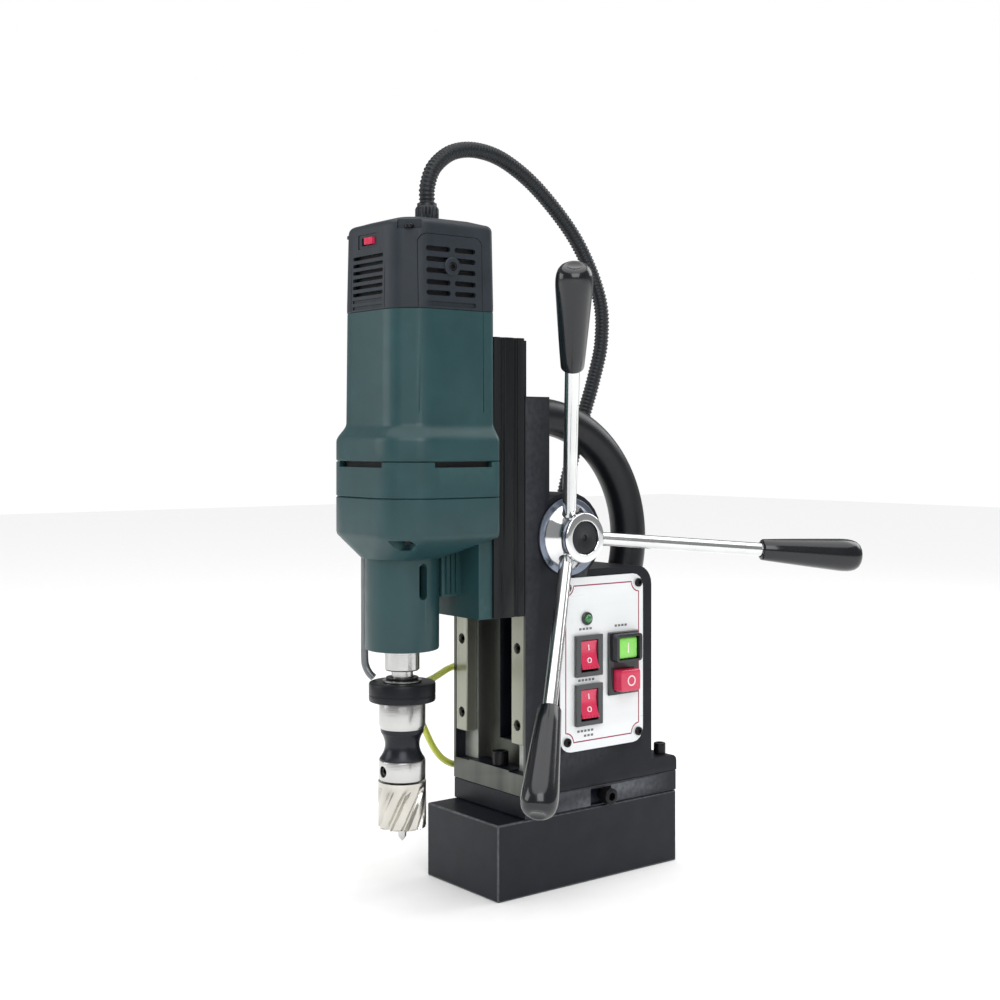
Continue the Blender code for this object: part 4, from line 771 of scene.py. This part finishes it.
def cutter():
    """Nine helical flutes on a tube, with teeth along the lower rim."""
    outer, inner, low, high, flutes = 18.3, 14.2, 58.0, 93.8, 9
    steps, segments = 30, flutes * 20
    rings = []
    for k in range(steps + 1):
        z = low + (high - low) * k / steps
        fade = min(1.0, max(0.0, (high - 3.0 - z) / 5.0))
        ring = []
        for i in range(segments):
            t = 2 * pi * i / segments
            at = (t * flutes / (2 * pi) - (z - low) * 0.0285 * flutes / (2 * pi)) % 1.0
            depth = 2.7 * fade * (sin(pi * at / 0.42) ** 0.55 if at < 0.42 else 0.0)
            tip = 2.4 * max(0.0, 1 - at / 0.42) if k == 0 and at < 0.42 else (3.2 * at if k == 0 else 0.0)
            reach = outer - depth
            ring.append(Vector((reach * cos(t), SPINDLE_Y + reach * sin(t), z + tip * 0.8)))
        rings.append(ring)
    angles = [2 * pi * i / segments for i in range(segments)]
    bore = [[Vector((r * cos(t), SPINDLE_Y + r * sin(t), z)) for t in angles]
            for r, z in ((9.7, high), (9.7, 92.0), (inner, 91.0), (inner, low + 1.5))]
    bm = bmesh.new()
    add_rings(bm, rings + bore, True)
    publish("cutter_fluted", bm, "cutter_steel", "spindle", sharp=28, stands_for=("annular_cutter",))


def tooling():
    arbor()
    cutter()
    lathe("pilot_pin_fine", [(0.3, 47.6), (1.6, 49.2), (3.0, 51.2), (3.1, 52), (3.1, 119.8), (4.2, 120.3),
                             (4.2, 123.5)], "turned_steel", "pilot", 48, False, ("pilot_pin",))
    ring = lathe("coolant_ring_fine",
                 [(9.2, 154.5), (9.2, 169.0), (24.2, 169.0), (25.1, 168.6), (25.5, 167.7), (25.5, 160.4),
                  (25.1, 160.0), (25.1, 159.4), (25.5, 159.0), (25.5, 155.8), (25.1, 154.9), (24.2, 154.5)],
                 "ring_black", "carriage", stands_for=("coolant_ring",))
    way = Vector((-0.5, sqrt(0.75), 0))
    carve(ring, [guide(turned_rings([(2.4, 12), (2.4, 40)], (0, SPINDLE_Y, COOLANT_INLET_Z), way, 32))])
    barb = [(2.1, 16), (2.1, 25.9), (4.2, 25.9), (4.2, 29.2), (2.5, 29.6), (2.5, 30.4), (3.0, 30.6),
            (2.4, 32.2), (3.0, 32.4), (2.3, 34.5)]
    turned("hose_barb_fine", barb, "brass", "carriage", (0, SPINDLE_Y, COOLANT_INLET_Z), way, 48,
           stands_for=("hose_barb",))
    lathe("spindle_washer", [(9.0, 169.3), (9.0, 171.0), (14.4, 171.0), (15.0, 170.5), (15.0, 169.6),
                             (14.7, 169.3)], "turned_steel", "spindle", 72)
    lathe("spindle_circlip", [(9.0, 171.3), (9.0, 172.7), (12.3, 172.7), (12.5, 172.3), (12.5, 171.6),
                              (12.3, 171.3)], "screw_black", "spindle", 72)
    line = smooth_route(((-28, -167, 263.4), (-28, -167, 240), (-28, -167, 210), (-28, -167, 186),
                         (-27.2, -166.5, 179), (-24.5, -165, 173.6), (-21.5, -163.2, 170.6)), 8)
    rod = swept("anti_rotation_rod_fine", line, [2.9] * len(line), "rod_grey", 28)
    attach(rod, "carriage")
    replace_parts(rod, "anti_rotation_rod")


# ---- base, column, rails and handle ----------------------------------------------------------
def base_and_column():
    cap_screw("front_bolt", (0, 0, 1), (5, -60, 94.3), 6.5, 11.0, "frame", shank=25,
              stands_for=("front_base_bolt",), knurl=0.25)
    for side, x in (("left", -36), ("right", 36)):
        cap_screw("rear_bolt_" + side, (0, 0, 1), (x, 86, 89.3), 5.0, 9.0, "frame", shank=20,
                  stands_for=("rear_base_bolt_" + side,), knurl=0.2)
    cap_screw("clamp_screw_fine", (1, 0, 0), (CLAMP_SEAT, CLAMP_Y, 67), 6.6, 8.5, "frame", shank=28,
              stands_for=("clamp_screw",), knurl=0.25)
    for x in (-36.4, 36.4):
        side = "left" if x < 0 else "right"
        for number, z in enumerate(RAIL_SCREW_Z, 1):
            cap_screw("rail_screw_%s_%d" % (side, number), (0, -1, 0), (x, -63.0, z), 3.9, 3.4, "frame")
    column = refine("column_housing", "column_black", "frame", 0.9)
    column.data.materials.append(FINISHES["foot_steel"])
    column.data.materials.append(FINISHES["channel_steel"])
    for face in column.data.polygons:
        centre, normal = face.center / MM, face.normal
        if normal.y < -0.9 and -62 < centre.y < -57:
            face.material_index = 1
        elif centre.z > 94.2 and centre.y < -48.5 and abs(centre.x) < 27.5:
            face.material_index = 2
    line = []
    for i in range(61):
        a = radians(100.0 - 140.0 * i / 60)
        line.append(Vector((0, HANDLE_Y + HANDLE_REACH * cos(a), HANDLE_Z + HANDLE_REACH * sin(a))))
    line.insert(0, line[0] + Vector((0, -26, -4)))
    handle = swept("carry_handle_fine", line, [HANDLE_R] * len(line), "handle_black", 48)
    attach(handle, "frame")
    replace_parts(handle, "carry_handle")
    carve(handle,
          [box_guide((-30, -120, 300), (30, -43.7, 450)), box_guide((-9.9, -60, 300), (9.9, -34, 450)),
           box_guide((-30, -60, 100), (30, 66.3, 250.3))], bevel=0.3)


def knurled(pitch_count, depth, low, high):
    """A radius rule for a nut with upright ribs between two heights along its axis."""
    def rule(radius, t, along):
        if low < along < high:
            return radius - depth * (0.5 - 0.5 * cos(t * pitch_count)) ** 2
        return radius
    return rule


def glands():
    profile = [(4.2, -10), (4.2, 0.3), (9.0, 0.3), (9.5, 0.8), (9.5, 4.6), (9.1, 5.0), (8.5, 5.3),
               (8.5, 6.0), (8.9, 6.6), (8.9, 9), (8.9, 12.6), (8.3, 13.6), (7.9, 15.2), (7.3, 16.0)]
    rule = knurled(18, 0.9, 6.5, 13)
    turned("gland_box", profile, "gland_black", "frame", (-27, 30, 250), (0, 0, 1), 144,
           stands_for=("conduit_gland_box",), radius_at=rule)
    turned("gland_mains", profile, "gland_black", "frame", (-20, 66, 118), (0, 1, 0), 144,
           stands_for=("mains_gland",), radius_at=rule)
    # A near-black disc down the mains gland's bore: painted shade inside the hole.
    turned("mains_hole_shade", [(4.6, 15.6), (4.6, 16.2), (4.2, 16.25), (0.5, 16.25)], "painted_shade_black", "frame",
           (-20, 66, 118), (0, 1, 0), 40)
    profile = [(4.2, 514), (4.2, 521.3), (8.0, 521.3), (8.4, 521.7), (8.4, 523.4), (8.9, 524.2),
               (9.2, 525.0), (9.2, 528), (9.2, 531.4), (8.7, 532.6), (7.9, 533.4), (7.6, 534), (7.6, 536)]
    turned("gland_motor", profile, "gland_black", "carriage", (0, -128, 0), (0, 0, 1), 144,
           stands_for=("conduit_gland_motor",), radius_at=knurled(18, 0.9, 524.5, 532))


# ---- control panel ---------------------------------------------------------------------------
ROCKERS = (("upper", -6.0, 181.5), ("lower", -6.0, 142.5))
START_Y, START_Z, STOP_Z = 31.5, 185.0, 159.0


def border():
    """A thin line round the panel that curves inward at each corner screw."""
    y0, y1, z0, z1, r = -28.5, 50.0, 113.5, 237.5, 8.0
    points = []
    for cy, cz, start in ((y1, z1, 270), (y0, z1, 360), (y0, z0, 90), (y1, z0, 180)):
        points += arc(cy, cz, r, start, start - 90, 12)
    bm = bmesh.new()
    count = len(points)
    rows = []
    low, high = PANEL_X - 0.05, PANEL_X + 0.04
    for x, grow in ((low, 0.55), (high, 0.5), (high, -0.5), (low, -0.55)):
        ring = []
        for i in range(count):
            ahead = Vector(points[(i + 1) % count]) - Vector(points[i - 1])
            side = Vector((ahead.y, -ahead.x)).normalized() * grow
            ring.append((x, points[i][0] + side.x, points[i][1] + side.y))
        rows.append(ring)
    add_rings(bm, rows, True)
    publish("panel_border", bm, "border_red", "frame", sharp=60)


def marks():
    """Plain bars where the panel has its labels, and the on and off signs of the switches."""
    bm = bmesh.new()
    rows = ((-14.5, 202.8, 4), (23.5, 202.8, 4), (-15.5, 162.0, 5), (-16.5, 121.6, 5), (-9.5, 117.6, 3))
    for y, z, count in rows:
        for i in range(count):
            left = y + i * 3.6
            add_rings(bm, box_rings((PANEL_X - 0.05, left, z - 0.9), (PANEL_X + 0.05, left + 2.5, z + 0.9)))
    publish("panel_marks", bm, "mark_grey", "frame")


MARK_SINK, MARK_LIFT = -0.2, 0.25


def ring_mark(bm, centre, facing, up, radius, thick):
    side = facing.cross(up)
    rings = []
    inner = radius - thick
    for r, lift in ((inner, MARK_SINK), (inner, MARK_LIFT), (radius, MARK_LIFT), (radius, MARK_SINK)):
        rings.append([centre + facing * lift + (side * cos(t) + up * sin(t)) * r
                      for t in [2 * pi * i / 32 for i in range(32)]])
    add_rings(bm, rings, True)


def bar_mark(bm, centre, facing, up, half_wide, half_high):
    side = facing.cross(up)
    add_rings(bm, [[centre + facing * lift + side * a * half_wide + up * b * half_high
                    for a, b in ((-1, -1), (1, -1), (1, 1), (-1, 1))] for lift in (MARK_SINK, MARK_LIFT)])


def rockers():
    for name, y, z in ROCKERS:
        pivot = Vector((46.0, y, z))
        tilt = Matrix.Rotation(radians(-8), 3, "Y")
        section = [(-4.5, -3.0), (-4.5, 3.0), (2.0, 11.3), (5.9, 11.3), (6.4, 11.0)]
        section += [(4.2 + 2.2 * (b / 11.3) ** 2, b) for b in (8, 5, 2.5, 0, -2.5, -5, -8)]
        section += [(6.4, -11.0), (5.9, -11.3), (2.0, -11.3)]
        bm = bmesh.new()
        add_rings(bm, [[pivot + tilt @ Vector((a, dy, b)) for a, b in section] for dy in (-8.6, 8.6)])
        rocker = publish("rocker_%s_fine" % name, bm, "switch_red", "rocker_" + name,
                         stands_for=("rocker_" + name,))
        ridges = []
        corners = [(5.6, -11.6), (5.2, -8.8), (9.0, -8.8), (9.0, -11.6)]
        for dy in (-6.0, -3.0, 0.0, 3.0, 6.0):
            ridges.append(guide([[pivot + tilt @ Vector((a, dy + s, b)) for a, b in corners]
                                 for s in (-0.8, 0.8)]))
        carve(rocker, ridges, bevel=0.3)
        bm = bmesh.new()
        facing, up = tilt @ Vector((1, 0, 0)), tilt @ Vector((0, 0, 1))
        bar_mark(bm, pivot + tilt @ Vector((5.1, 0, 5.8)), facing, up, 0.5, 2.2)
        ring_mark(bm, pivot + tilt @ Vector((4.7, 0, -4.4)), facing, up, 2.3, 0.8)
        publish("rocker_%s_signs" % name, bm, "mark_pale", "rocker_" + name)


def start_stop():
    for name, z, reach, finish in (("start_button", START_Z, 7.5, "button_green"),
                                   ("stop_button", STOP_Z, 11.5, "switch_red")):
        bm = bmesh.new()
        rings = []
        front = PANEL_X + reach
        for inset, x in ((0, 40.0), (0, front - 1.4), (0.3, front - 0.6), (1.0, front - 0.1), (1.8, front)):
            shape = rounded(START_Y - 10.5 + inset, START_Y + 10.5 - inset, z - 8.7 + inset,
                            z + 8.7 - inset, 2.0, 6)
            rings.append([(x, a, b) for a, b in shape])
        add_rings(bm, rings)
        publish(name + "_fine", bm, finish, name, stands_for=(name,))
    bm = bmesh.new()
    facing, up = Vector((1, 0, 0)), Vector((0, 0, 1))
    ring_mark(bm, Vector((PANEL_X + 11.5, START_Y, STOP_Z)), facing, up, 4.3, 1.1)
    publish("stop_sign", bm, "mark_pale", "stop_button")
    bm = bmesh.new()
    bar_mark(bm, Vector((PANEL_X + 7.5, START_Y, START_Z)), facing, up, 0.6, 4.0)
    publish("start_sign", bm, "mark_pale", "start_button")


def panel():
    border()
    marks()
    rockers()
    start_stop()
    for number, (y, z) in enumerate(PANEL_SCREWS, 1):
        cap_screw("panel_screw_%d" % number, (1, 0, 0), (PANEL_X + 0.2, y, z), 3.5, 2.2, "frame")
    lamp = [(3.6, 34), (3.6, PANEL_X + 0.3), (5.2, PANEL_X + 0.3), (5.3, PANEL_X + 0.8),
            (5.2, PANEL_X + 1.8), (4.7, PANEL_X + 2.3), (4.0, PANEL_X + 2.4), (3.7, PANEL_X + 2.2)]
    turned("lamp_bezel", lamp, "switch_black", "frame", LAMP, (1, 0, 0), 48, stands_for=("pilot_lamp",))
    angles = [radians(a) for a in range(0, 85, 12)]
    dome = [(3.6, PANEL_X + 2.1)] + [(3.5 * cos(t), PANEL_X + 2.3 + 2.4 * sin(t)) for t in angles]
    turned("lamp_lens", dome, "lamp_green", "frame", LAMP, (1, 0, 0), 48)


camera()
finishes()
cords()
studio()
from_cad()
motor()
feed_handle()
tooling()
base_and_column()
glands()
panel()
